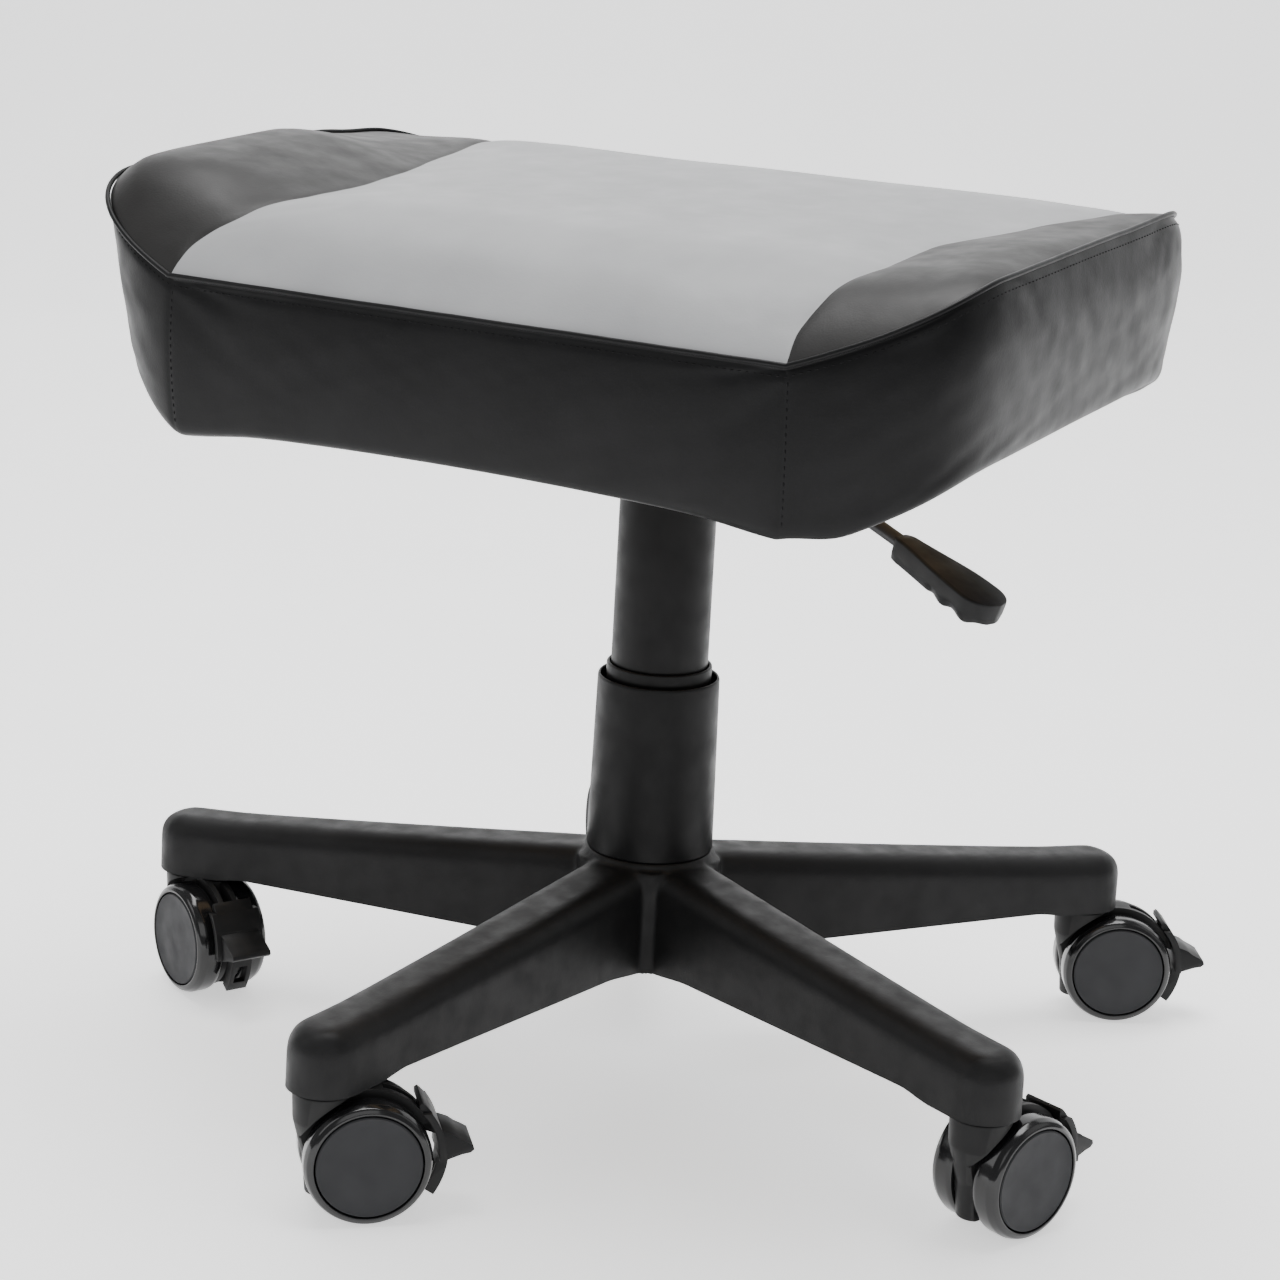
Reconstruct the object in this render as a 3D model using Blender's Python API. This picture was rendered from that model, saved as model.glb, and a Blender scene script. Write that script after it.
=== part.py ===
"""Upholstered footrest stool on a gas column and a five-leg base with braked twin-wheel casters.

Frame: metres, +Z up, floor at Z = 0, column axis on X = Y = 0, +X along the seat's long side.
"""

import math

import bmesh
import bpy
from mathutils import Matrix, Vector

GAP = 0.0003                    # clearance between touching pieces

# Casters: local +X runs from the stem to the axle
WHEEL_RADIUS = 0.03175
WHEEL_SIDES = 24
WHEEL_INNER_FACE = 0.0072       # from the caster's mid plane
WHEEL_THICKNESS = 0.0145
CAP_RADIUS = 0.0266
CASTER_TRAIL = 0.0203
AXLE_RADIUS = 0.0040
STEM_RADIUS = 0.0055
STEM_BOTTOM = 0.0460
STEM_TOP = 0.0900
BRAKE_PIVOT = Vector((0.0155, 0.0185))      # X and Z from the axle
SWIVELS = [41.0, 70.0, 32.0, 130.0, -26.0]  # degrees, one for each leg

# Five-leg base
LEG_ANGLES = [-95.5 + 72.0 * i for i in range(5)]
STEM_CIRCLE = 0.2737
TIP_RADIUS = 0.0190
RIM_HEIGHT = 0.0667
DOME_HEIGHT = 0.0995
HUB_RADIUS = 0.0360
HUB_BOTTOM = 0.0580
HUB_TOP = 0.1212
LEG_ROOT_TOP = 0.1185
LEG_ROOT_BOTTOM = 0.0600
LEG_WALL = 0.0030

# Gas column
TUBE_RADIUS = 0.0250
TUBE_WALL = 0.0016
TUBE_BOTTOM = 0.0560
TUBE_TOP = 0.2050
CYLINDER_RADIUS = 0.0140
CYLINDER_TOP = 0.3630
ROD_RADIUS = 0.0050
PIN_RADIUS = 0.0035
PIN_TOP = 0.3672

# Release lever
LEVER_AZIMUTH = -17.0
LEVER_PIVOT_R = 0.0240
LEVER_SLOPE = 18.0
LEVER_RADIUS = 0.0037
LEVER_HEIGHT = PIN_TOP + LEVER_RADIUS + 0.0004
PADDLE_START = 0.1640
PADDLE_END = 0.2300
PADDLE_SAG = 0.0020             # centre of the paddle below the rod

# Seat
SEAT_HEIGHT = 0.4068            # underside of the cushion at the column axis
SEAT_TILT = 3.05
SEAT_CENTRE = Vector((-0.0037, -0.0358))
HALF_FRONT = 0.1704             # half the straight front and back edges
HALF_LENGTH = 0.2442
HALF_DEPTH = 0.1725
SIDE_POWER = 9.3
WATERFALL_DROP = 0.0365         # how far the front and back edges bend down
WATERFALL_START = 0.5           # share of the half depth that stays flat
WATERFALL_POWER = 3.2
FLAT_INSET = 0.0960             # rings pulled in this far lie in the flat middle
BAND_HEIGHT = 0.0790
PLATE_HALF = 0.0800
PLATE_SHIFT = -0.0250           # the seat plate reaches further forward of the column than behind it
BOLT_SPACING = 0.0600           # from the plate's centre in X and Y


# ---------------------------------------------------------------- helpers

def material(name, colour, roughness, metallic=0.0):
    mat = bpy.data.materials.new(name)
    mat.use_nodes = True
    shader = mat.node_tree.nodes["Principled BSDF"]
    shader.inputs["Base Color"].default_value = (*colour, 1.0)
    shader.inputs["Roughness"].default_value = roughness
    shader.inputs["Metallic"].default_value = metallic
    return mat


def mesh_from(bm, name):
    bmesh.ops.remove_doubles(bm, verts=bm.verts, dist=1e-6)
    bmesh.ops.recalc_face_normals(bm, faces=bm.faces)
    mesh = bpy.data.meshes.new(name)
    bm.to_mesh(mesh)
    bm.free()
    return mesh


def rod(name, radius, low, high, sides, axis="Z"):
    """A plain round bar, also used as a drill."""
    return turned(name, [(0, low), (radius, low), (radius, high), (0, high)], sides, axis)


def turned(name, profile, sides=32, axis="Z"):
    """Spin a closed outline of (radius, height) pairs about its axis."""
    bm = bmesh.new()
    half_step = math.pi / sides
    verts = [bm.verts.new((r * math.cos(half_step), r * math.sin(half_step), h)) for r, h in profile]
    edges = [bm.edges.new((a, b)) for a, b in zip(verts, verts[1:] + verts[:1])
             if a.co.xy.length > 1e-9 or b.co.xy.length > 1e-9]
    bmesh.ops.spin(bm, geom=verts + edges, cent=(0, 0, 0), axis=(0, 0, 1), angle=2 * math.pi, steps=sides)
    mesh = mesh_from(bm, name)
    if axis == "Y":
        mesh.transform(Matrix.Rotation(-math.pi / 2, 4, "X"))
    return mesh


def block(name, low, high):
    bm = bmesh.new()
    bmesh.ops.create_cube(bm, size=1.0)
    mesh = mesh_from(bm, name)
    size = Vector(high) - Vector(low)
    centre = (Vector(high) + Vector(low)) / 2
    mesh.transform(Matrix.Translation(centre) @ Matrix.Diagonal((*size, 1.0)))
    return mesh


def extruded(name, outline, half_width):
    """Extrude an outline in the XZ plane to both sides of it."""
    bm = bmesh.new()
    face = bm.faces.new([bm.verts.new((x, -half_width, z)) for x, z in outline])
    result = bmesh.ops.extrude_face_region(bm, geom=[face])
    moved = [v for v in result["geom"] if isinstance(v, bmesh.types.BMVert)]
    bmesh.ops.translate(bm, verts=moved, vec=(0, 2 * half_width, 0))
    return mesh_from(bm, name)


def lofted(name, rings, first_centre=None, last_centre=None):
    """Skin a stack of equal rings; each end closes on a centre point, or as one face."""
    bm = bmesh.new()
    loops = [[bm.verts.new(p) for p in ring] for ring in rings]
    for lower, upper in zip(loops, loops[1:]):
        for i in range(len(lower)):
            j = (i + 1) % len(lower)
            bm.faces.new((lower[i], lower[j], upper[j], upper[i]))
    for loop, centre in ((loops[0], first_centre), (loops[-1], last_centre)):
        if centre is None:
            bm.faces.new(loop)
            continue
        tip = bm.verts.new(centre)
        for i in range(len(loop)):
            bm.faces.new((loop[i], loop[(i + 1) % len(loop)], tip))
    return mesh_from(bm, name)


def combined(name, mesh, steps):
    """Apply Boolean steps, each an operation and a tool mesh, and return the resulting mesh."""
    body = bpy.data.objects.new(name, mesh)
    bpy.context.scene.collection.objects.link(body)
    tools = []
    for operation, tool_mesh in steps:
        tool = bpy.data.objects.new(name + "_tool", tool_mesh)
        bpy.context.scene.collection.objects.link(tool)
        modifier = body.modifiers.new(operation, "BOOLEAN")
        modifier.operation = operation
        modifier.object = tool
        tools.append(tool)
    bpy.context.view_layer.update()
    result = bpy.data.meshes.new_from_object(body.evaluated_get(bpy.context.evaluated_depsgraph_get()))
    result.name = name
    for item in [body] + tools:
        bpy.data.objects.remove(item)
    return result


def moved(mesh, matrix):
    copy = mesh.copy()
    copy.transform(matrix)
    return copy


def empty(name, matrix):
    guide = bpy.data.objects.new(name, None)
    bpy.context.scene.collection.objects.link(guide)
    guide.matrix_world = matrix
    return guide


def place(name, mesh, mat, parent=None, matrix=None, smooth=True):
    if not mesh.materials:
        mesh.materials.append(mat)
    if smooth:
        mesh.shade_smooth()
        mesh.set_sharp_from_angle(angle=math.radians(35))
    part = bpy.data.objects.new(name, mesh)
    bpy.context.scene.collection.objects.link(part)
    part.parent = parent
    if matrix is not None:
        part.matrix_local = matrix
    return part


def polar(radius, degrees):
    angle = math.radians(degrees)
    return radius * math.cos(angle), radius * math.sin(angle)


# ---------------------------------------------------------------- five-leg base

def leg_section(r, half_width, bottom, top, corner):
    """One cross-section of a leg: straight walls and a round-cornered top."""
    points = [(r, -half_width, bottom)]
    for side, start in ((-1, math.pi), (1, math.pi / 2)):
        for i in range(4):
            a = start - i * math.pi / 6
            across = side * (half_width - corner) + corner * math.cos(a)
            points.append((r, across, top - corner + corner * math.sin(a)))
    points.append((r, half_width, bottom))
    return points


def leg_shape(name, inset, cavity=False):
    """A tapering leg with a round domed tip; the cavity is the same shape inside its walls."""
    tip = TIP_RADIUS - inset
    if cavity:
        stations = [(HUB_RADIUS + 0.0055, 0.0208 - inset, LEG_ROOT_TOP - inset)]
    else:
        stations = [(HUB_RADIUS - 0.009, 0.0190, LEG_ROOT_TOP), (HUB_RADIUS + 0.004, 0.0210, LEG_ROOT_TOP)]
    middle = 0.160 if cavity else 0.150
    stations.append((middle, 0.0185 - inset, 0.1105 - inset))
    for degrees in ((4, 40, 70, 85) if cavity else (0, 30, 55, 75, 86)):
        a = math.radians(degrees)
        dome = DOME_HEIGHT - inset - 0.010 * (1 - math.cos(a)) ** 1.3
        stations.append((STEM_CIRCLE + tip * math.sin(a), tip * math.cos(a), dome))
    rings = []
    for r, half_width, top in stations:
        share = min(1.0, max(0.0, (r - HUB_RADIUS) / (STEM_CIRCLE - TIP_RADIUS - HUB_RADIUS)))
        bottom = 0.030 if cavity else LEG_ROOT_BOTTOM + share * (RIM_HEIGHT - LEG_ROOT_BOTTOM)
        corner = min(0.0115 - inset / 2, half_width * 0.85)
        rings.append(leg_section(r, half_width, bottom, top, corner))
    return lofted(name, rings)


def star_base(mat):
    hub = turned("hub", [(0, HUB_BOTTOM), (HUB_RADIUS - 0.002, HUB_BOTTOM), (HUB_RADIUS, HUB_BOTTOM + 0.002),
                         (HUB_RADIUS, HUB_TOP), (0, HUB_TOP)], 36)
    leg = leg_shape("leg", 0.0)
    cavity = leg_shape("leg_cavity", LEG_WALL, cavity=True)
    boss = rod("boss", 0.0100, RIM_HEIGHT + GAP, 0.0980, 14)
    socket = rod("socket", STEM_RADIUS + GAP, 0.0500, STEM_TOP + 0.0005, 12)
    bore = rod("bore", TUBE_RADIUS + 0.00035, 0.0300, 0.1400, 36)
    steps = []
    turns = [Matrix.Rotation(math.radians(a), 4, "Z") for a in LEG_ANGLES]
    out = Matrix.Translation((STEM_CIRCLE, 0, 0))
    steps += [("UNION", moved(leg, turn)) for turn in turns]
    steps += [("DIFFERENCE", moved(cavity, turn)) for turn in turns]
    steps += [("UNION", moved(boss, turn @ out)) for turn in turns]
    steps += [("DIFFERENCE", moved(socket, turn @ out)) for turn in turns]
    steps.append(("DIFFERENCE", bore))
    place("star_base", combined("star_base", hub, steps), mat)


# ---------------------------------------------------------------- gas column

def tube(name, inner, outer, bottom, top, mat, sides=30):
    profile = [(inner, bottom), (outer, bottom), (outer, top), (inner, top)]
    return place(name, turned(name, profile, sides), mat)


def column(steel, plastic):
    wall = TUBE_RADIUS - TUBE_WALL
    floor = TUBE_BOTTOM + 0.0060
    floor_top = floor + 0.0040
    floor_hole = ROD_RADIUS + 2 * GAP
    place("column_outer_tube", turned("column_outer_tube", [
        (TUBE_RADIUS, TUBE_BOTTOM), (TUBE_RADIUS, TUBE_TOP), (wall, TUBE_TOP), (wall, floor_top),
        (floor_hole, floor_top), (floor_hole, floor), (wall, floor), (wall, TUBE_BOTTOM)], 30), steel)
    tube("guide_bush", CYLINDER_RADIUS + 0.0002, wall - GAP, 0.1350, 0.2035, plastic)
    piston_rod(floor, floor_top, steel)
    ring = turned("retaining_clip", [(0.0039, floor - 0.0031), (0.0090, floor - 0.0031),
                                     (0.0090, floor - 0.0007), (0.0039, floor - 0.0007)], 20)
    slot = block("clip_slot", (0, -0.0030, floor - 0.0060), (0.0120, 0.0030, floor + 0.0040))
    place("retaining_clip", combined("retaining_clip", ring, [("DIFFERENCE", slot)]), steel)
    bore = CYLINDER_RADIUS - 0.0014
    bottom, chamber, cap = 0.1300, 0.1450, 0.3400
    place("column_inner_tube", turned("column_inner_tube", [
        (CYLINDER_RADIUS, bottom), (CYLINDER_RADIUS, CYLINDER_TOP), (PIN_RADIUS + GAP, CYLINDER_TOP),
        (PIN_RADIUS + GAP, cap), (bore, cap), (bore, chamber), (ROD_RADIUS + GAP, chamber),
        (ROD_RADIUS + GAP, bottom)], 24), steel)
    place("release_pin", turned("release_pin", [
        (0, cap - 0.0050), (PIN_RADIUS, cap - 0.0050), (PIN_RADIUS, PIN_TOP - 0.0007),
        (PIN_RADIUS - 0.0007, PIN_TOP), (0, PIN_TOP)], 16), steel)


def piston_rod(floor, floor_top, steel):
    """Fixed rod with the clip's groove, the thrust collar above the tube's floor and the piston."""
    groove, collar, head = 0.0036, 0.0120, 0.0121
    place("piston_rod", turned("piston_rod", [
        (0, floor - 0.0050), (0.0046, floor - 0.0050), (0.0046, floor - 0.0034), (groove, floor - 0.0034),
        (groove, floor - 0.0004), (ROD_RADIUS, floor - 0.0004), (ROD_RADIUS, floor_top + GAP),
        (collar, floor_top + GAP), (collar, floor_top + 0.0090), (ROD_RADIUS, floor_top + 0.0090),
        (ROD_RADIUS, 0.1860), (head, 0.1860), (head, 0.1960), (0, 0.1960)], 20), steel)


def column_covers(mat):
    place("cover_lower", turned("cover_lower", [
        (0.0333, HUB_TOP + 0.0005), (0.0348, HUB_TOP + 0.0005), (0.0332, 0.2182), (0.0328, 0.2190),
        (0.0320, 0.2190), (0.0318, 0.2182)], 32), mat)
    place("cover_middle", turned("cover_middle", [
        (0.0270, 0.1230), (0.0312, 0.1230), (0.0312, 0.1250), (0.0284, 0.1250), (0.0281, 0.2140),
        (0.0287, 0.2150), (0.0287, 0.2250), (0.0281, 0.2257), (0.0270, 0.2257)], 32), mat)
    place("cover_upper", turned("cover_upper", [
        (0.02535, 0.2050), (0.0264, 0.2050), (0.0261, 0.3360), (0.0250, 0.3372),
        (CYLINDER_RADIUS + GAP, 0.3372), (CYLINDER_RADIUS + GAP, 0.3352), (0.02535, 0.3352)], 32), mat)


# ---------------------------------------------------------------- casters

def caster_meshes():
    axle_at = Matrix.Translation((CASTER_TRAIL, 0, WHEEL_RADIUS))
    tread = WHEEL_RADIUS / math.cos(math.pi / WHEEL_SIDES)
    outer = WHEEL_INNER_FACE + WHEEL_THICKNESS
    inner = WHEEL_INNER_FACE
    web = outer - 0.0062
    floor = outer - 0.0035
    wheel = turned("wheel", [
        (AXLE_RADIUS + GAP, web), (0.0275, web), (0.0282, inner), (tread, inner),
        (tread, outer - 0.0030), (tread - 0.0022, outer), (CAP_RADIUS + GAP, outer),
        (CAP_RADIUS + GAP, floor), (AXLE_RADIUS + GAP, floor)], WHEEL_SIDES, "Y")
    cap = turned("cap", [(0, floor + GAP), (CAP_RADIUS - 0.0004, floor + GAP), (CAP_RADIUS - 0.0006, outer),
                         (0, outer)], WHEEL_SIDES, "Y")
    axle = rod("axle", AXLE_RADIUS, -floor, floor, 16, "Y")
    stem = turned("stem", [(0, STEM_BOTTOM), (STEM_RADIUS, STEM_BOTTOM), (STEM_RADIUS, STEM_TOP - 0.0015),
                           (STEM_RADIUS - 0.0015, STEM_TOP), (0, STEM_TOP)], 16)
    meshes = {"housing": housing_mesh(axle_at), "brake": brake_mesh(axle_at), "stem": stem}
    for name, mesh in (("wheel", wheel), ("cap", cap), ("axle", axle)):
        meshes[name] = moved(mesh, axle_at)
        meshes[name + "_far"] = moved(mesh, axle_at @ Matrix.Rotation(math.pi, 4, "Z"))
    return meshes


def housing_mesh(axle_at):
    """Neck under the leg, running down between the two wheels, with a slot for the brake."""
    neck = turned("neck", [(0, 0.0120), (0.0086, 0.0120), (0.0100, 0.0300), (0.0150, 0.0520),
                           (0.0155, 0.0652), (0, 0.0652)], 16)
    disc = rod("disc", 0.0285, -0.0057, 0.0057, 16, "Y")
    steps = [("UNION", moved(disc, axle_at))]
    room = WHEEL_RADIUS + 0.0026
    side = rod("wheel_room", room, WHEEL_INNER_FACE - 0.0009, 0.0400, 18, "Y")
    steps += [("DIFFERENCE", moved(side, axle_at @ Matrix.Rotation(turn, 4, "Z"))) for turn in (0, math.pi)]
    axle_hole = rod("axle_hole", AXLE_RADIUS + GAP, -0.0200, 0.0200, 12, "Y")
    steps.append(("DIFFERENCE", moved(axle_hole, axle_at)))
    steps.append(("DIFFERENCE", rod("stem_hole", STEM_RADIUS + GAP, STEM_BOTTOM - 0.0005, 0.0700, 12)))
    brake_slot = block("brake_slot", (0.0070, -0.0026, -0.0350), (0.0350, 0.0026, 0.0350))
    steps.append(("DIFFERENCE", moved(brake_slot, axle_at)))
    pin_hole = rod("pin_hole", 0.0020, -0.0200, 0.0200, 8, "Y")
    pivot = Matrix.Translation((BRAKE_PIVOT.x, 0, BRAKE_PIVOT.y))
    steps.append(("DIFFERENCE", moved(pin_hole, axle_at @ pivot)))
    return combined("housing", neck, steps)


def brake_mesh(axle_at):
    """Foot brake: a curved shoe plate over both treads, a pedal lip, a tongue and a web to its pin."""
    inner, outer = WHEEL_RADIUS + 0.0037, WHEEL_RADIUS + 0.0077
    plate = [polar(outer, a) for a in (-2, 8, 18, 28, 38, 46)]
    plate += [polar(inner + 0.0015, 49)] + [polar(inner, a) for a in (46, 38, 28, 18, 8, -2)]
    lip = [polar(inner + 0.001, 2), polar(outer - 0.001, -3), (0.0520, 0.0012), (0.0530, 0.0030)]
    lip += [(0.0515, 0.0055), (0.0450, 0.0080), polar(outer + 0.0006, 15), polar(inner + 0.001, 15)]
    tongue = [polar(inner, a) for a in (-33, -22, -11, 3)]
    tongue += [polar(outer + 0.0015, a) for a in (3, -11, -22, -33)]
    web = [polar(inner + 0.001, a) for a in (12, 24, 36, 44)]
    web += [tuple(BRAKE_PIVOT + Vector(corner)) for corner in
            ((0.0010, 0.0034), (-0.0034, 0.0006), (-0.0010, -0.0034))]
    pin = rod("brake_pin", 0.0015, -0.0052, 0.0052, 10, "Y")
    window = block("window", (0.025, -0.0030, -0.0165), (0.050, 0.0030, -0.0095))
    steps = [("UNION", moved(extruded("lip", lip, 0.0120), axle_at)),
             ("UNION", moved(extruded("tongue", tongue, 0.0062), axle_at)),
             ("UNION", moved(extruded("web", web, 0.0020), axle_at)),
             ("UNION", moved(pin, axle_at @ Matrix.Translation((BRAKE_PIVOT.x, 0, BRAKE_PIVOT.y)))),
             ("DIFFERENCE", moved(window, axle_at))]
    return combined("brake", moved(extruded("plate", plate, 0.0150), axle_at), steps)


def casters(steel, moulded, glossy, cap_grey):
    meshes = caster_meshes()
    finish = {"housing": moulded, "brake": moulded, "wheel": glossy, "cap": cap_grey, "stem": steel,
              "axle": steel}
    pieces = [("stem", "stem"), ("housing", "housing"), ("axle", "axle"), ("wheel_left", "wheel"),
              ("wheel_right", "wheel_far"), ("cap_left", "cap"), ("cap_right", "cap_far"), ("brake", "brake")]
    for number, (leg, swivel) in enumerate(zip(LEG_ANGLES, SWIVELS), 1):
        x, y = polar(STEM_CIRCLE, leg)
        turn = Matrix.Rotation(math.radians(swivel), 4, "Z")
        guide = empty(f"caster_{number}", Matrix.Translation((x, y, 0)) @ turn)
        for piece, key in pieces:
            place(f"caster_{number}_{piece}", meshes[key], finish[key.split("_")[0]], guide)


# ---------------------------------------------------------------- seat

def seat_matrix():
    return Matrix.Translation((0, 0, SEAT_HEIGHT)) @ Matrix.Rotation(math.radians(SEAT_TILT), 4, "X")


def outline():
    """The cushion seen from above: straight front and back edges, full round sides."""
    side_steps, edge_steps = 14, 4
    points = []
    for i in range(side_steps):
        t = math.sin(math.pi * (i / side_steps - 0.5))
        points.append((HALF_FRONT + (HALF_LENGTH - HALF_FRONT) * (1 - abs(t) ** SIDE_POWER), HALF_DEPTH * t))
    for i in range(edge_steps):
        points.append((HALF_FRONT - 2 * HALF_FRONT * i / edge_steps, HALF_DEPTH))
    return points + [(-x, -y) for x, y in points]


def ring(inset, height):
    """The outline pulled in by an inset and bent down towards the front and back edges."""
    points = []
    for x, y in outline():
        px = x * (1 - inset / HALF_LENGTH)
        py = y * (1 - inset / HALF_DEPTH)
        share = max(0.0, (abs(py / HALF_DEPTH) - WATERFALL_START) / (1 - WATERFALL_START))
        drop = WATERFALL_DROP * share ** WATERFALL_POWER
        points.append((px + SEAT_CENTRE.x, py + SEAT_CENTRE.y, height - drop))
    return points


BOARD_INSET = 0.0120
HEM_INSETS = (0.0450, 0.0300, 0.0190)
SLOPE_INSETS = (FLAT_INSET, 0.0650, 0.0450, 0.0300, 0.0190)
CROWN = [(0.0120, 0.0008), (0.0300, 0.0012), (0.0600, 0.0015), (0.1100, 0.0016)]  # inset and rise


def crown_rings(drop, shift=0.0):
    return [ring(inset + shift, BAND_HEIGHT + rise - drop) for inset, rise in CROWN]


def seat_board(mat):
    low, high = 0.0022, 0.0136
    rings = [ring(inset, low) for inset in SLOPE_INSETS]
    rings += [ring(BOARD_INSET, 0.0072), ring(BOARD_INSET, 0.0125), ring(BOARD_INSET + 0.0006, high)]
    rings += [ring(inset, high) for inset in SLOPE_INSETS[::-1]]
    board = lofted("seat_board", rings, (*SEAT_CENTRE, low), (*SEAT_CENTRE, high))
    hole = rod("board_hole", 0.0034, -0.0100, 0.0300, 12)
    steps = [("DIFFERENCE", moved(hole, Matrix.Translation((x, y, 0)))) for x, y in bolt_places()]
    place("seat_board", combined("seat_board", board, steps), mat, matrix=seat_matrix())


def bolt_places():
    signs = (-1, 1)
    return [(sx * BOLT_SPACING, sy * BOLT_SPACING + PLATE_SHIFT) for sx in signs for sy in signs]


def seat_foam(mat):
    low = 0.0166
    rings = [ring(inset, low) for inset in SLOPE_INSETS]
    rings += [ring(0.0088, low), ring(0.0050, 0.0260), ring(0.0014, 0.0500), ring(0.0028, 0.0738),
              ring(0.0049, 0.0768)]
    top = BAND_HEIGHT + CROWN[-1][1] - 0.0020
    foam = lofted("seat_foam", rings + crown_rings(0.0020, 0.0006), (*SEAT_CENTRE, low), (*SEAT_CENTRE, top))
    place("seat_foam", foam, mat, matrix=seat_matrix())


def seat_cover(mat):
    """A sewn skin over the foam, turned in under the board's edge and open in the middle below."""
    skin = 0.0012
    outside = [ring(inset, 0.0) for inset in HEM_INSETS]
    outside += [ring(0.0110, 0.0), ring(0.0060, 0.0050), ring(0.0020, 0.0260), ring(-0.0016, 0.0500),
                ring(0.0, 0.0755), ring(0.0020, BAND_HEIGHT)]
    inside = [ring(inset, skin) for inset in HEM_INSETS]
    inside += [ring(0.0124, skin), ring(0.0075, 0.0060), ring(0.0035, 0.0260), ring(-0.0001, 0.0500),
               ring(0.0014, 0.0743), ring(0.0034, 0.0776)]
    outside += crown_rings(0.0)
    inside += crown_rings(0.0013, 0.0003)
    bm = bmesh.new()
    shells = []
    for rings, crest in ((outside, 0.0), (inside, 0.0013)):
        loops = [[bm.verts.new(p) for p in points] for points in rings]
        for lower, upper in zip(loops, loops[1:]):
            for i in range(len(lower)):
                j = (i + 1) % len(lower)
                bm.faces.new((lower[i], lower[j], upper[j], upper[i]))
        tip = bm.verts.new((*SEAT_CENTRE, BAND_HEIGHT + CROWN[-1][1] - crest))
        for i in range(len(loops[-1])):
            bm.faces.new((loops[-1][i], loops[-1][(i + 1) % len(loops[-1])], tip))
        shells.append(loops[0])
    for i in range(len(shells[0])):
        j = (i + 1) % len(shells[0])
        bm.faces.new((shells[0][i], shells[0][j], shells[1][j], shells[1][i]))
    place("seat_cover", mesh_from(bm, "seat_cover"), mat, matrix=seat_matrix())


def seat_plate(mat):
    """Pressed plate under the board, with the column's socket and the lever's two ears."""
    seat = seat_matrix()
    flange = moved(block("flange", (-PLATE_HALF, PLATE_SHIFT - PLATE_HALF, -0.0016),
                         (PLATE_HALF, PLATE_SHIFT + PLATE_HALF, 0.0009)), seat)
    azimuth = Matrix.Rotation(math.radians(LEVER_AZIMUTH), 4, "Z")
    top = SEAT_HEIGHT - 0.0009
    ceiling = CYLINDER_TOP + 0.0270
    socket = turned("plate_socket", [(0, 0.3385), (0.0185, 0.3385), (0.0200, 0.3640), (0.0200, top),
                                     (0, top)], 28)
    ears = [block("ear", (0.0150, side - 0.0012, CYLINDER_TOP - 0.0010), (0.0310, side + 0.0012, top))
            for side in (-0.0075, 0.0075)]
    bore = rod("plate_bore", CYLINDER_RADIUS + GAP, 0.3300, ceiling, 32)
    slot = block("lever_slot", (-0.0010, -0.0055, CYLINDER_TOP - 0.0030), (0.0400, 0.0055, ceiling - 0.0015))
    pin_hole = rod("lever_pin_hole", 0.0028, -0.0200, 0.0200, 12, "Y")
    hole = rod("plate_hole", 0.0033, -0.0100, 0.0100, 12)
    steps = [("UNION", socket)] + [("UNION", moved(ear, azimuth)) for ear in ears]
    steps += [("DIFFERENCE", bore), ("DIFFERENCE", moved(slot, azimuth))]
    steps.append(("DIFFERENCE", moved(pin_hole, azimuth @ Matrix.Translation((LEVER_PIVOT_R, 0, LEVER_HEIGHT)))))
    steps += [("DIFFERENCE", moved(hole, seat @ Matrix.Translation((x, y, 0)))) for x, y in bolt_places()]
    place("seat_plate", combined("seat_plate", flange, steps), mat)


def bolts(mat):
    profile = [(0, -0.0058), (0.0052, -0.0058), (0.0056, -0.0047), (0.0056, -0.0020), (0.0030, -0.0020),
               (0.0030, 0.0125), (0, 0.0125)]
    mesh = turned("bolt", profile, 12)
    for number, (x, y) in enumerate(bolt_places(), 1):
        place(f"seat_bolt_{number}", mesh, mat, matrix=seat_matrix() @ Matrix.Translation((x, y, 0)))


# ---------------------------------------------------------------- release lever

def rod_fall(r, slope, bend):
    """Height of the sloping rod, measured from its level end, at a distance from the column."""
    return -0.0036 - (r - bend - 0.008) * slope


def lever(steel, plastic):
    """A cranked rod on a cross pin, with a wedge paddle outside the seat's edge."""
    slope = math.tan(math.radians(LEVER_SLOPE))
    bend = 0.0330
    route = [(-0.0030, 0.0), (bend - 0.008, 0.0), (bend, -0.0008), (bend + 0.008, -0.0036)]
    tip = PADDLE_START + 0.030
    route.append((tip, rod_fall(tip, slope, bend)))
    rings = []
    for i, (r, dz) in enumerate(route):
        back, ahead = route[max(i - 1, 0)], route[min(i + 1, len(route) - 1)]
        run, rise = ahead[0] - back[0], ahead[1] - back[1]
        length = math.hypot(run, rise)
        across = (-rise / length, run / length)
        section = [polar(LEVER_RADIUS, 360 * k / 16) for k in range(16)]
        rings.append([(r + v * across[0], u, dz + v * across[1]) for u, v in section])
    bar = lofted("lever_rod", rings)
    pivot = Matrix.Translation((LEVER_PIVOT_R, 0, 0))
    pin = rod("lever_pin", 0.0025, -0.0105, 0.0105, 16, "Y")
    frame = Matrix.Rotation(math.radians(LEVER_AZIMUTH), 4, "Z") @ Matrix.Translation((0, 0, LEVER_HEIGHT))
    axis = frame @ pivot
    bar = combined("lever_rod", bar, [("UNION", moved(pin, pivot))])
    place("lever_rod", moved(bar, pivot.inverted()), steel, matrix=axis)
    handle = moved(paddle_mesh(slope, bend), pivot.inverted())
    place("lever_handle", handle, plastic, matrix=axis)


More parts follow.
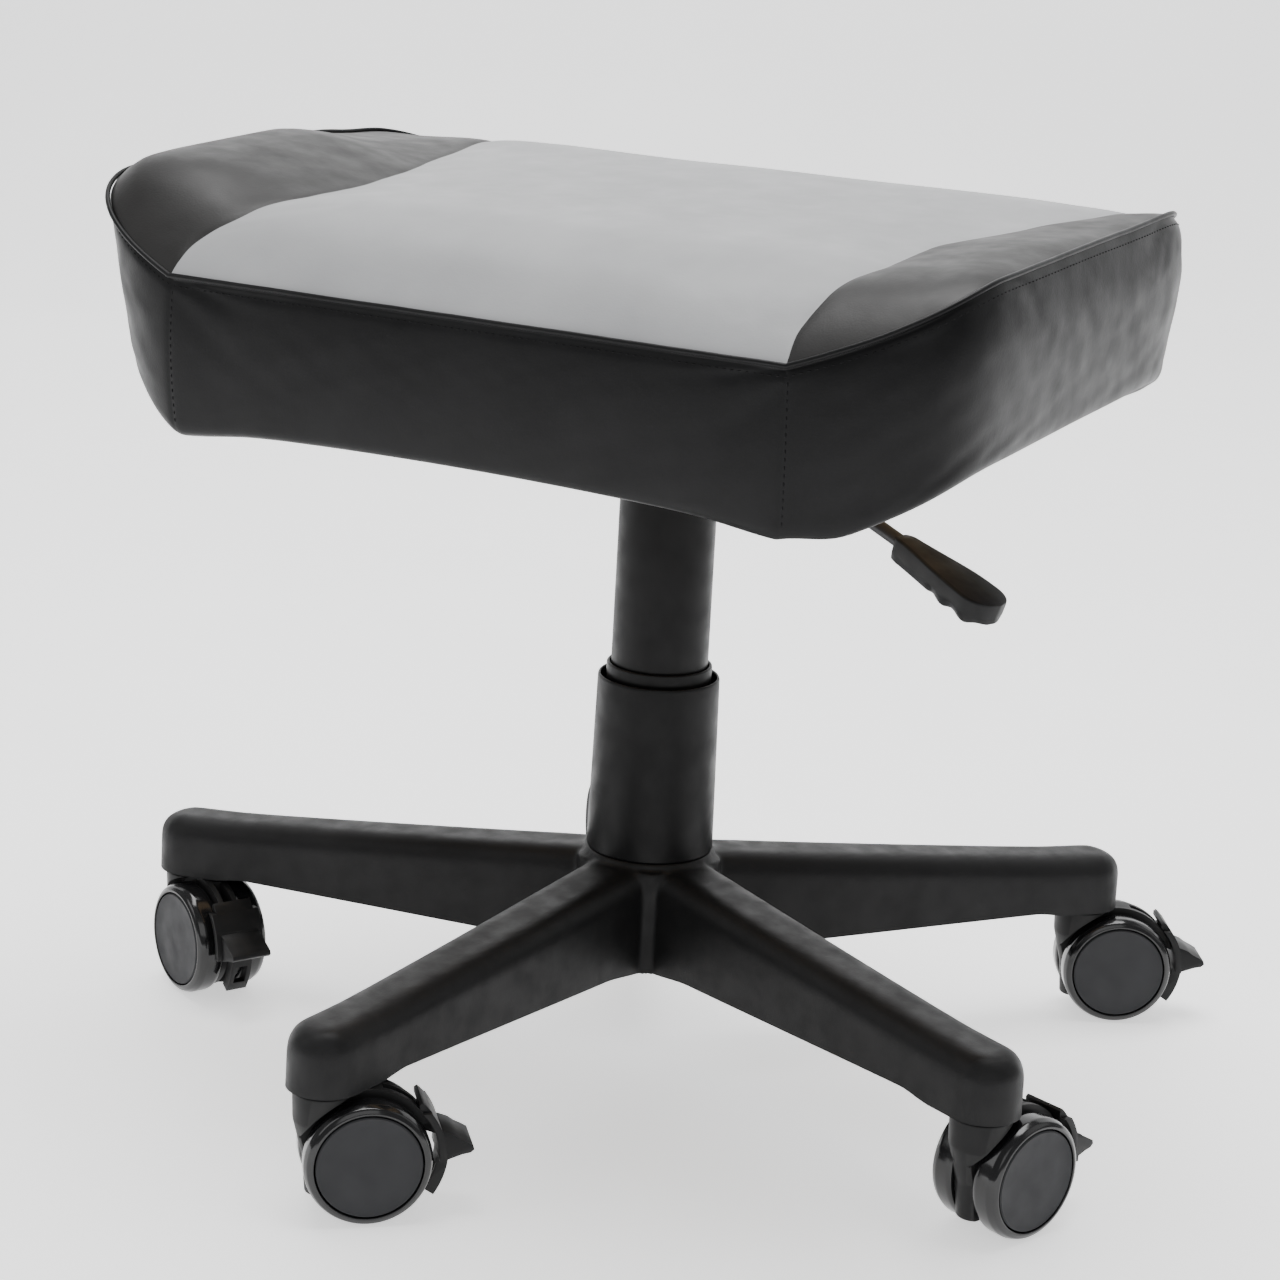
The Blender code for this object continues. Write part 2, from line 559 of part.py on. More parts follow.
def paddle_mesh(slope, bend):
    """The paddle: narrow at the rod, widening to a round end, with a socket for the rod."""
    rings = []
    length = PADDLE_END - PADDLE_START
    stations = [(0.0, 0.0070, 0.0076), (0.10, 0.0082, 0.0082), (0.45, 0.0112, 0.0082), (0.75, 0.0138, 0.0076),
                (0.88, 0.0135, 0.0070), (0.96, 0.0100, 0.0062), (1.0, 0.0050, 0.0052)]
    for share, half_width, half_depth in stations:
        r = PADDLE_START + share * length
        centre = rod_fall(r, slope, bend) - PADDLE_SAG
        points = []
        for k in range(20):
            u, v = polar(1.0, 360 * k / 20)
            u = math.copysign(abs(u) ** 0.7, u)
            v = math.copysign(abs(v) ** 0.6, v)
            points.append((r + v * half_depth * slope * 0.9, u * half_width, centre + v * half_depth))
        rings.append(points)
    handle = lofted("lever_handle", rings)
    start = PADDLE_START - 0.010
    end = PADDLE_START + 0.0305
    socket = []
    for r in (start, end):
        centre = rod_fall(r, slope, bend)
        section = [polar(LEVER_RADIUS + 0.0004, 360 * k / 16) for k in range(16)]
        socket.append([(r + v * slope, u, centre + v) for u, v in section])
    return combined("lever_handle", handle, [("DIFFERENCE", lofted("rod_socket", socket))])


def main():
    for leftover in list(bpy.data.objects):
        bpy.data.objects.remove(leftover)
    nylon = material("black_nylon", (0.022, 0.022, 0.023), 0.55)
    cover_plastic = material("cover_plastic", (0.026, 0.026, 0.028), 0.50)
    moulded = material("caster_moulding", (0.018, 0.018, 0.019), 0.45)
    glossy = material("glossy_tyre", (0.010, 0.010, 0.011), 0.12)
    cap_grey = material("cap_grey", (0.060, 0.060, 0.065), 0.50)
    steel = material("zinc_steel", (0.45, 0.45, 0.46), 0.35, 1.0)
    black_steel = material("black_steel", (0.015, 0.015, 0.016), 0.40, 0.2)
    acetal = material("acetal", (0.75, 0.74, 0.70), 0.45)
    ply = material("plywood", (0.55, 0.40, 0.24), 0.65)
    foam = material("foam", (0.70, 0.66, 0.50), 0.90)
    leather = material("leatherette", (0.020, 0.020, 0.022), 0.45)
    star_base(nylon)
    column(black_steel, acetal)
    column_covers(cover_plastic)
    casters(steel, moulded, glossy, cap_grey)
    seat_board(ply)
    seat_foam(foam)
    seat_cover(leather)
    seat_plate(black_steel)
    bolts(steel)
    lever(black_steel, moulded)


main()
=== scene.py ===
import math

import bmesh
import bpy
from mathutils import Matrix, Vector, noise


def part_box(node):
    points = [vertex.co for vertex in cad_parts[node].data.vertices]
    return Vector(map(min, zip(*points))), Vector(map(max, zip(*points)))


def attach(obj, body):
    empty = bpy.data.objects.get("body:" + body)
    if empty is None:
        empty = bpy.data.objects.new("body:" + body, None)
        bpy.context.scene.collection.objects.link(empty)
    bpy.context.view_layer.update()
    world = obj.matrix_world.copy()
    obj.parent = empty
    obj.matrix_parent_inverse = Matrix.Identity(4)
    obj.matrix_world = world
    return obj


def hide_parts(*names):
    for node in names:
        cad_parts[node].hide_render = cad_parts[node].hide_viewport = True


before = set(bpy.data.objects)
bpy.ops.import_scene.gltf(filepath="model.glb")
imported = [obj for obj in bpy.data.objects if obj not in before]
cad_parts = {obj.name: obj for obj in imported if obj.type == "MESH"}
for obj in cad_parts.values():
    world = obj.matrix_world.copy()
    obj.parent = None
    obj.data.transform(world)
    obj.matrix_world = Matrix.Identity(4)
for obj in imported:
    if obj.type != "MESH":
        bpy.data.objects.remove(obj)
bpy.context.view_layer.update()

COLLECTION = bpy.context.scene.collection

# Camera: it looks down at the stool from its right front corner, rolled a little
CAMERA_AZIMUTH = 28.0
CAMERA_DISTANCE = 1.6018
CAMERA_HEIGHT = 0.6735
TARGET_SIDE = -0.0113
TARGET_HEIGHT = 0.2374
CAMERA_ROLL = 3.1212
CAMERA_LENS = 85.86

# Seat, in its own tilted frame
SEAT_HEIGHT = 0.4068
SEAT_TILT = 3.05
HALF_FRONT = 0.1704
HALF_LENGTH = 0.2442
HALF_DEPTH = 0.1725
SIDE_POWER = 9.3
WATERFALL_DROP = 0.0365
WATERFALL_START = 0.5
WATERFALL_POWER = 3.2
BAND_HEIGHT = 0.0790
BAND_BULGE = 0.0016
SEAT = Matrix.Translation((0, 0, SEAT_HEIGHT)) @ Matrix.Rotation(math.radians(SEAT_TILT), 4, "X")
SEAT = SEAT @ Matrix.Translation((-0.0037, -0.0358, 0))

# The two seams across the top: share of the half depth, front to back, and distance from the middle
SEAM_LEFT = [(-1.0, 0.1704), (-0.93, 0.1680), (-0.78, 0.1500), (-0.60, 0.1365), (-0.35, 0.1340), (-0.10, 0.1390),
             (0.30, 0.1530), (0.66, 0.1660), (1.0, 0.1704)]
SEAM_RIGHT = [(-1.0, 0.1704), (-0.93, 0.1690), (-0.80, 0.1730), (-0.55, 0.1810), (-0.18, 0.1780), (0.25, 0.1965),
              (0.58, 0.2130), (0.90, 0.2290), (1.0, 0.2310)]
SEAM_VALLEY = 0.0022
SIDE_COLUMNS = 11           # grid columns across each round side panel
NEAR_SEAM = (0.0012, 0.0030)  # the columns closest to a seam
SWELL = 0.0022              # the most that the foam pushes the cover out
SHOULDER_LEFT = 0.0120
SHOULDER_RIGHT = 0.0045

# Casters and base
CASTERS = range(1, 6)
WHEEL_RADIUS = (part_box("caster_1_wheel_left")[1][2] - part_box("caster_1_wheel_left")[0][2]) / 2
WHEEL_INNER = 0.0072
WHEEL_OUTER = 0.0217
CAP_RADIUS = 0.0266
TIP_RADIUS = 0.0190
HUB_RADIUS = 0.0360
HUB_BOTTOM = 0.0580
LEG_ROOT_BOTTOM = 0.0600
RIM_HEIGHT = 0.0667
HUB_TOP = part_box("star_base")[1][2]

# Release lever: a level rod through the seat plate, then a bend and a straight fall to the paddle
LEVER_AZIMUTH = -17.0
LEVER_HEIGHT = 0.3713
LEVER_SLOPE = math.tan(math.radians(18.0))
LEVER_BEND = 0.033
LEVER_RADIUS = 0.0037
PADDLE_START = 0.164
PADDLE_END = 0.2300


# ---------------------------------------------------------------- helpers

def polar(radius, degrees):
    angle = math.radians(degrees)
    return radius * math.cos(angle), radius * math.sin(angle)


def centre_of(node):
    low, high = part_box(node)
    return (Vector(low) + Vector(high)) / 2


STEM_CIRCLE = centre_of("caster_1_stem").xy.length


def mix(a, b, share):
    return a + (b - a) * share


def step(low, high, value):
    """Smooth step from 0 at low to 1 at high."""
    share = min(1.0, max(0.0, (value - low) / (high - low)))
    return share * share * (3 - 2 * share)


def link(name, mesh, mats, matrix=None, smooth_angle=40.0):
    for mat in mats if isinstance(mats, (list, tuple)) else [mats]:
        mesh.materials.append(mat)
    if smooth_angle:
        mesh.shade_smooth()
        if smooth_angle < 180:
            mesh.set_sharp_from_angle(angle=math.radians(smooth_angle))
    piece = bpy.data.objects.new(name, mesh)
    COLLECTION.objects.link(piece)
    if matrix is not None:
        piece.matrix_world = matrix
    return piece


def mesh_from(bm, name, merge=1e-6):
    bmesh.ops.remove_doubles(bm, verts=bm.verts, dist=merge)
    bmesh.ops.recalc_face_normals(bm, faces=bm.faces)
    mesh = bpy.data.meshes.new(name)
    bm.to_mesh(mesh)
    bm.free()
    return mesh


def rounded(profile, radius, steps=3):
    """A closed outline of 2-D points with each corner rounded, where there is room for it."""
    points = []
    count = len(profile)
    for i in range(count):
        here = Vector(profile[i])
        before = Vector(profile[i - 1]) - here
        after = Vector(profile[(i + 1) % count]) - here
        cut = min(radius, before.length * 0.45, after.length * 0.45)
        if cut < 1e-5 or abs(here.x) < 1e-9:
            points.append(tuple(here))
            continue
        a = here + before.normalized() * cut
        b = here + after.normalized() * cut
        for k in range(steps + 1):
            s = k / steps
            points.append(tuple(a * (1 - s) ** 2 + here * 2 * s * (1 - s) + b * s ** 2))
    return points


def turned(name, profile, sides=64, axis="Z", radius=0.0):
    """Spin a closed outline of (radius, height) pairs about its axis."""
    bm = bmesh.new()
    outline = rounded(profile, radius) if radius else profile
    verts = [bm.verts.new((r, 0, h)) for r, h in outline]
    edges = [bm.edges.new((a, b)) for a, b in zip(verts, verts[1:] + verts[:1])
             if a.co.xy.length > 1e-9 or b.co.xy.length > 1e-9]
    bmesh.ops.spin(bm, geom=verts + edges, cent=(0, 0, 0), axis=(0, 0, 1), angle=2 * math.pi, steps=sides)
    mesh = mesh_from(bm, name)
    if axis == "Y":
        mesh.transform(Matrix.Rotation(-math.pi / 2, 4, "X"))
    return mesh


def block(name, low, high):
    bm = bmesh.new()
    bmesh.ops.create_cube(bm, size=1.0)
    mesh = mesh_from(bm, name)
    size = Vector(high) - Vector(low)
    mesh.transform(Matrix.Translation((Vector(high) + Vector(low)) / 2) @ Matrix.Diagonal((*size, 1.0)))
    return mesh


def extruded(name, outline, half_width):
    """Extrude an outline in the XZ plane to both sides of it."""
    bm = bmesh.new()
    face = bm.faces.new([bm.verts.new((x, -half_width, z)) for x, z in outline])
    result = bmesh.ops.extrude_face_region(bm, geom=[face])
    verts = [v for v in result["geom"] if isinstance(v, bmesh.types.BMVert)]
    bmesh.ops.translate(bm, verts=verts, vec=(0, 2 * half_width, 0))
    return mesh_from(bm, name)


def lofted(name, rings):
    """Skin a stack of equal rings and close both ends."""
    bm = bmesh.new()
    loops = [[bm.verts.new(p) for p in ring] for ring in rings]
    for lower, upper in zip(loops, loops[1:]):
        for i in range(len(lower)):
            j = (i + 1) % len(lower)
            bm.faces.new((lower[i], lower[j], upper[j], upper[i]))
    bm.faces.new(loops[0])
    bm.faces.new(loops[-1])
    return mesh_from(bm, name)


def evaluated(name, mesh, add_modifiers):
    """The mesh after the modifiers that add_modifiers puts on a scratch object."""
    body = bpy.data.objects.new(name, mesh)
    COLLECTION.objects.link(body)
    scratch = [body] + list(add_modifiers(body) or [])
    bpy.context.view_layer.update()
    result = bpy.data.meshes.new_from_object(body.evaluated_get(bpy.context.evaluated_depsgraph_get()))
    result.name = name
    for item in scratch:
        bpy.data.objects.remove(item)
    return result


def combined(name, mesh, steps, bevel=0.0):
    """Apply Boolean steps, each an operation and a tool mesh, then round the sharp edges."""
    def add(body):
        tools = []
        for operation, tool_mesh in steps:
            tool = bpy.data.objects.new(name + "_tool", tool_mesh)
            COLLECTION.objects.link(tool)
            modifier = body.modifiers.new(operation, "BOOLEAN")
            modifier.operation = operation
            modifier.object = tool
            tools.append(tool)
        if bevel:
            edge = body.modifiers.new("edge", "BEVEL")
            edge.width = bevel
            edge.segments = 2
            edge.limit_method = "ANGLE"
            edge.angle_limit = math.radians(38)
        return tools
    return evaluated(name, mesh, add)


def moved(mesh, matrix):
    copy = mesh.copy()
    copy.transform(matrix)
    return copy


def tube_along(name, points, radius, sides=10, closed=False, flat=1.0):
    """A round tube along a run of points; flat squeezes its height."""
    bm = bmesh.new()
    loops = []
    count = len(points)
    for i, point in enumerate(points):
        ahead = points[(i + 1) % count] if closed or i + 1 < count else point
        behind = points[i - 1] if closed or i > 0 else point
        along = (ahead - behind).normalized()
        side = along.cross(Vector((0, 0, 1)))
        side = side.normalized() if side.length > 0.05 else along.cross(Vector((1, 0, 0))).normalized()
        up = side.cross(along)
        loop = []
        for k in range(sides):
            u, v = polar(radius, 360 * k / sides)
            loop.append(bm.verts.new(point + side * u + up * v * flat))
        loops.append(loop)
    pairs = list(zip(loops, loops[1:]))
    if closed:
        pairs.append((loops[-1], loops[0]))
    for a, b in pairs:
        for k in range(sides):
            j = (k + 1) % sides
            bm.faces.new((a[k], a[j], b[j], b[k]))
    if not closed:
        bm.faces.new(loops[0])
        bm.faces.new(loops[-1])
    return mesh_from(bm, name)


# ---------------------------------------------------------------- materials

class Surface:
    """A Principled material whose colour, roughness and relief are built up from noise."""

    def __init__(self, name, roughness, metallic=0.0, **sockets):
        self.material = bpy.data.materials.new(name)
        self.material.use_nodes = True
        self.tree = self.material.node_tree
        self.shader = self.tree.nodes["Principled BSDF"]
        self.shader.inputs["Roughness"].default_value = roughness
        self.shader.inputs["Metallic"].default_value = metallic
        for socket, value in sockets.items():
            self.shader.inputs[socket.replace("_", " ")].default_value = value
        self.place = self.tree.nodes.new("ShaderNodeTexCoord").outputs["Object"]
        self.normal = None

    def node(self, kind, inputs=None, **settings):
        made = self.tree.nodes.new(kind)
        for key, value in settings.items():
            setattr(made, key, value)
        for key, value in (inputs or {}).items():
            if isinstance(value, bpy.types.NodeSocket):
                self.tree.links.new(value, made.inputs[key])
            else:
                made.inputs[key].default_value = value
        return made

    def stretched(self, scale):
        return self.node("ShaderNodeMapping", {"Vector": self.place, "Scale": scale}).outputs["Vector"]

    def noise(self, size, detail=3.0, stretch=(1, 1, 1), rough=0.5):
        vector = self.place if stretch == (1, 1, 1) else self.stretched(stretch)
        made = self.node("ShaderNodeTexNoise", {"Vector": vector, "Scale": 1 / size, "Detail": detail,
                                                "Roughness": rough})
        return made.outputs["Fac"]

    def cells(self, size, feature="F1", warp=None):
        vector = self.place
        if warp is not None:
            vector = self.node("ShaderNodeVectorMath", {0: self.place, 1: warp}, operation="ADD").outputs[0]
        made = self.node("ShaderNodeTexVoronoi", {"Vector": vector, "Scale": 1 / size}, feature=feature)
        return made.outputs["Distance"]

    def between(self, value, low, high, out_low, out_high):
        made = self.node("ShaderNodeMapRange", {"Value": value, "From Min": low, "From Max": high,
                                                "To Min": out_low, "To Max": out_high})
        return made.outputs["Result"]

    def colour(self, value, dark, light, low=0.3, high=0.7):
        ramp = self.node("ShaderNodeValToRGB", {"Fac": value})
        ramp.color_ramp.elements[0].position = low
        ramp.color_ramp.elements[0].color = (*dark, 1)
        ramp.color_ramp.elements[1].position = high
        ramp.color_ramp.elements[1].color = (*light, 1)
        self.base = ramp.outputs["Color"]
        self.tree.links.new(self.base, self.shader.inputs["Base Color"])

    def wear(self, tone, low, high, strength):
        """Edges rubbed towards another tone."""
        edge = self.node("ShaderNodeNewGeometry").outputs["Pointiness"]
        share = self.between(edge, low, high, 0.0, strength)
        made = self.node("ShaderNodeMix", {"Factor": share}, data_type="RGBA")
        self.tree.links.new(self.base, made.inputs["A"])
        made.inputs["B"].default_value = (*tone, 1)
        self.base = made.outputs["Result"]
        self.tree.links.new(self.base, self.shader.inputs["Base Color"])

    def roughness(self, value, low, high):
        self.tree.links.new(self.between(value, 0.3, 0.7, low, high), self.shader.inputs["Roughness"])

    def relief(self, height, distance, strength=1.0):
        bump = self.node("ShaderNodeBump", {"Height": height, "Distance": distance, "Strength": strength})
        if self.normal is not None:
            self.tree.links.new(self.normal, bump.inputs["Normal"])
        self.normal = bump.outputs["Normal"]
        self.tree.links.new(self.normal, self.shader.inputs["Normal"])


def moulded(name, dark, light, roughness, grain, depth, spread=0.08, wear_tone=None, **sockets):
    """Moulded plastic: fine spark-eroded grain, faint flow blotches and slightly rubbed edges."""
    surface = Surface(name, roughness, **sockets)
    surface.colour(surface.noise(0.040, 4.0), dark, light)
    if wear_tone:
        surface.wear(wear_tone, 0.52, 0.62, 0.5)
    surface.roughness(surface.noise(0.012, 3.0), roughness - spread, roughness + spread)
    surface.relief(surface.noise(grain, 2.0), depth, 0.6)
    surface.relief(surface.noise(grain * 9, 2.0), depth * 2, 0.25)
    return surface.material


def leather(name, dark, light, roughness, **sockets):
    """Leatherette: pebbled grain with fine pores, soft hand marks and a low uneven sheen."""
    surface = Surface(name, roughness, **sockets)
    marks = surface.noise(0.055, 4.0)
    surface.colour(marks, dark, light)
    surface.roughness(surface.noise(0.018, 3.0), roughness - 0.06, roughness + 0.07)
    warp = surface.node("ShaderNodeTexNoise",
                        {"Vector": surface.place, "Scale": 900.0, "Detail": 1.0}).outputs["Color"]
    small = surface.node("ShaderNodeVectorMath", {0: warp, "Scale": 0.0009}, operation="SCALE").outputs[0]
    surface.relief(surface.noise(0.030, 3.0), 0.0006, 0.30)
    surface.relief(surface.noise(0.0042, 3.0), 0.00012, 0.35)
    surface.relief(surface.cells(0.0011, "F1", small), 0.00006, 0.45)
    return surface.material


def metal(name, dark, light, roughness, metallic, brush=0.0006):
    """Painted or plated steel with faint drawing lines."""
    surface = Surface(name, roughness, metallic)
    surface.colour(surface.noise(0.020, 4.0), dark, light)
    surface.roughness(surface.noise(0.006, 3.0), roughness - 0.07, roughness + 0.10)
    surface.relief(surface.noise(brush, 2.0, (1, 1, 0.08)), 0.00004, 0.4)
    return surface.material


def plywood(name):
    surface = Surface(name, 0.62)
    rings = surface.node("ShaderNodeTexNoise",
                         {"Vector": surface.stretched((6, 160, 60)), "Scale": 1.0, "Detail": 6.0,
                          "Roughness": 0.62, "Distortion": 0.8}).outputs["Fac"]
    surface.colour(rings, (0.36, 0.23, 0.12), (0.66, 0.49, 0.30))
    surface.roughness(surface.noise(0.010, 3.0), 0.52, 0.72)
    surface.relief(rings, 0.0002, 0.35)
    return surface.material


NYLON = moulded("base_nylon_look", (0.005, 0.005, 0.0053), (0.009, 0.009, 0.0094), 0.48, 0.0007, 0.00010,
                wear_tone=(0.020, 0.020, 0.020), Specular_IOR_Level=0.20)
COVER = moulded("cover_plastic_look", (0.004, 0.004, 0.0042), (0.0065, 0.0065, 0.0068), 0.44, 0.0005, 0.00004,
                Specular_IOR_Level=0.15)
MOULDING = moulded("caster_moulding_look", (0.006, 0.006, 0.0063), (0.010, 0.010, 0.0104), 0.46, 0.0004, 0.00004,
                   wear_tone=(0.022, 0.022, 0.022), Specular_IOR_Level=0.20)
GLOSS = moulded("wheel_gloss_look", (0.006, 0.006, 0.0065), (0.009, 0.009, 0.0095), 0.15, 0.0030, 0.00001, 0.05)
CAP = moulded("cap_grey_look", (0.024, 0.0245, 0.0265), (0.032, 0.0325, 0.0350), 0.58, 0.0004, 0.00004,
              Specular_IOR_Level=0.20)
BLACK_LEATHER = leather("leatherette_black_look", (0.0035, 0.0035, 0.0038), (0.0060, 0.0060, 0.0064), 0.38,
                        Specular_IOR_Level=0.16)
DARK_LEATHER = leather("leatherette_dark_look", (0.010, 0.0094, 0.0092), (0.016, 0.0152, 0.0150), 0.44,
                       Specular_IOR_Level=0.24)
GREY_LEATHER = leather("leatherette_grey_look", (0.300, 0.303, 0.310), (0.350, 0.353, 0.360), 0.46,
                       Specular_IOR_Level=0.35)
THREAD = moulded("thread_look", (0.004, 0.004, 0.0044), (0.009, 0.009, 0.0095), 0.75, 0.0004, 0.00006,
                 Specular_IOR_Level=0.15)
BLACK_STEEL = metal("black_steel_look", (0.010, 0.010, 0.011), (0.018, 0.018, 0.019), 0.38, 0.15)
ZINC = metal("zinc_steel_look", (0.42, 0.42, 0.43), (0.58, 0.58, 0.58), 0.32, 1.0)
ACETAL = moulded("acetal_look", (0.66, 0.65, 0.61), (0.78, 0.77, 0.73), 0.45, 0.0005, 0.00003)
PLY = plywood("plywood_look")


# ---------------------------------------------------------------- upholstery

def side_reach(t):
    """Half the seat's length at a share t of its half depth."""
    return HALF_FRONT + (HALF_LENGTH - HALF_FRONT) * (1 - abs(t) ** SIDE_POWER)


def bend(t):
    return WATERFALL_DROP * max(0.0, (abs(t) - WATERFALL_START) / (1 - WATERFALL_START)) ** WATERFALL_POWER


def depth_rows():
    """Shares of the half depth, closer together towards the front and back edges."""
    inner = []
    count = 80
    for i in range(1, count):
        s = 2 * i / count - 1
        inner.append(0.45 * s + 0.55 * math.sin(math.pi * s / 2))
    close = [0.9985, 0.9955]
    return [-1.0] + [-c for c in close] + inner + close[::-1] + [1.0]


def through(knots, t):
    """Smooth run through a list of knots."""
    for (a, low), (b, high) in zip(knots, knots[1:]):
        if t <= b:
            share = (t - a) / (b - a)
            return mix(low, high, 0.5 * share + 0.5 * step(0, 1, share))
    return knots[-1][1]


def seam(side, t):
    """Distance from the middle to the seam on one side, where the outline leaves room for it."""
    return min(through(SEAM_RIGHT if side > 0 else SEAM_LEFT, t), side_reach(t))


def side_offset(k, width):
    """How far column k of a round side panel is from its seam."""
    near = (0.0, min(NEAR_SEAM[0], 0.10 * width), min(NEAR_SEAM[1], 0.22 * width))
    if k < 3:
        return near[k]
    return mix(near[2], width, (k - 2) / (SIDE_COLUMNS - 2))


def centre_columns(t):
    """X places across the centre panel, closer together beside its two seams."""
    count = 58
    low, high = -seam(-1, t), seam(1, t)
    near = (0.0, *NEAR_SEAM)
    middle = [mix(low + near[2], high - near[2], i / count) for i in range(1, count)]
    return [low + d for d in near] + middle + [high - d for d in near[::-1]]


def wavy(x, y, size, seed=0.0):
    return noise.noise(Vector((x / size, y / size, seed)))


def top_point(x, t):
    y = HALF_DEPTH * t
    side = 1 if x > 0 else -1
    to_side = max(0.0, side_reach(t) - abs(x))
    to_end = HALF_DEPTH * (1 - abs(t))
    inset = to_side * to_end / max(1e-9, math.hypot(to_side, to_end))
    from_seam = abs(x) - seam(side, t)
    away = step(0.0, 0.02, inset)
    shoulder = SHOULDER_LEFT if side < 0 else SHOULDER_RIGHT
    dome = shoulder * step(-1.0, -0.65, t) * (1 - step(-0.05, 0.42, t))
    dome *= step(-0.004, 0.014, inset) * step(0.0, 0.070, from_seam)
    if side < 0:
        dome -= 0.0040 * step(0.30, 0.60, t) * (1 - step(0.72, 0.95, t)) * step(-0.01, 0.05, from_seam)
    dent = 0.0006 * wavy(x, y, 0.09, 3.0) * step(0.0, 0.03, inset)
    pucker = 1 + 0.35 * wavy(y, x, 0.006, 9.0)
    groove = 0.0009 * pucker * math.exp(-(from_seam / 0.0016) ** 2) * step(0.0, 0.02, to_end + 0.004)
    valley = SEAM_VALLEY * math.exp(-abs(from_seam) / 0.014) * away
    return Vector((x, y, BAND_HEIGHT + dome + dent - groove - valley - bend(t)))


BAND_DEPTHS = [0.0010, 0.0020, 0.0032, 0.0046, 0.0062, 0.0085, 0.0120, 0.0165, 0.0215, 0.0270, 0.0330, 0.0390,
               0.0450, 0.0510, 0.0565, 0.0615, 0.0660, 0.0695, 0.0720]
HEM = [(0.0004, 0.0042), (0.0016, 0.0018), (0.0040, 0.0005), (0.0080, 0.0), (0.0160, 0.0), (0.0270, 0.0),
       (0.0360, 0.0), (0.0450, 0.0)]
STITCH_DEPTH = 0.0046
STITCH_SPACING = 0.0038
STAPLE_INSET = 0.044
STAPLE_SPACING = 0.028
STAPLE_LENGTH = 0.0110


def band_profile():
    """Rows down the band and under its edge: inset from the piping line and height."""
    rows = []
    for depth in BAND_DEPTHS:
        bulge = BAND_BULGE * math.sin(math.pi * min(1.0, depth / 0.0745))
        groove = 0.0012 * math.exp(-((depth - 0.0018) / 0.0013) ** 2)
        dimple = 0.0004 * math.exp(-((depth - STITCH_DEPTH) / 0.0012) ** 2)
        rows.append((groove + dimple - bulge, BAND_HEIGHT - depth))
    return rows + HEM


def band_point(edge, t, x, row, corner):
    """A point of the band under a point of the piping line, with the soft folds of the sewn cover."""
    inset, height = row
    down = min(1.0, 1 - height / BAND_HEIGHT)
    around = math.atan2(t * HALF_DEPTH, x)
    on_end = abs(t) > 0.9999
    arch = 0.0050 * (1 - (x / HALF_FRONT) ** 2) if on_end else 0.0
    sag = 0.0030 * math.exp(-(corner / 0.030) ** 2)
    beside = step(0.0, 0.09, corner) * (0.0 if on_end else 1.0)
    below = step(0.0, 0.035, corner) * (0.0 if on_end else 1.0)
    if x > 0:
        lean = -0.0042 * math.sin(math.pi * min(1.0, down / 0.85) ** 0.6)
        hang = -0.0095
    else:
        lean = 0.0105 * down ** 0.75
        hang = 0.0010
    lift = (arch - sag + hang * below * (1 - step(0.006, 0.030, inset))) * down ** 1.5
    fold_place = 14.0 * around + 16.0 * down
    fold = wavy(fold_place, 1.5 * down + 0.6 * around, 1.0, 7.0) * (0.0004 if on_end else 0.0009)
    fold *= step(0.02, 0.35, down) * (1 - step(0.85, 1.0, down)) * step(0.0, 0.03, corner)
    stitched = 0.0007 * math.exp(-(corner / 0.0015) ** 2)
    pull = inset + stitched - fold + lean * beside
    px = edge.x * (1 - pull / HALF_LENGTH)
    py = edge.y * (1 - pull / HALF_DEPTH)
    return Vector((px, py, edge.z - BAND_HEIGHT + height + lift))


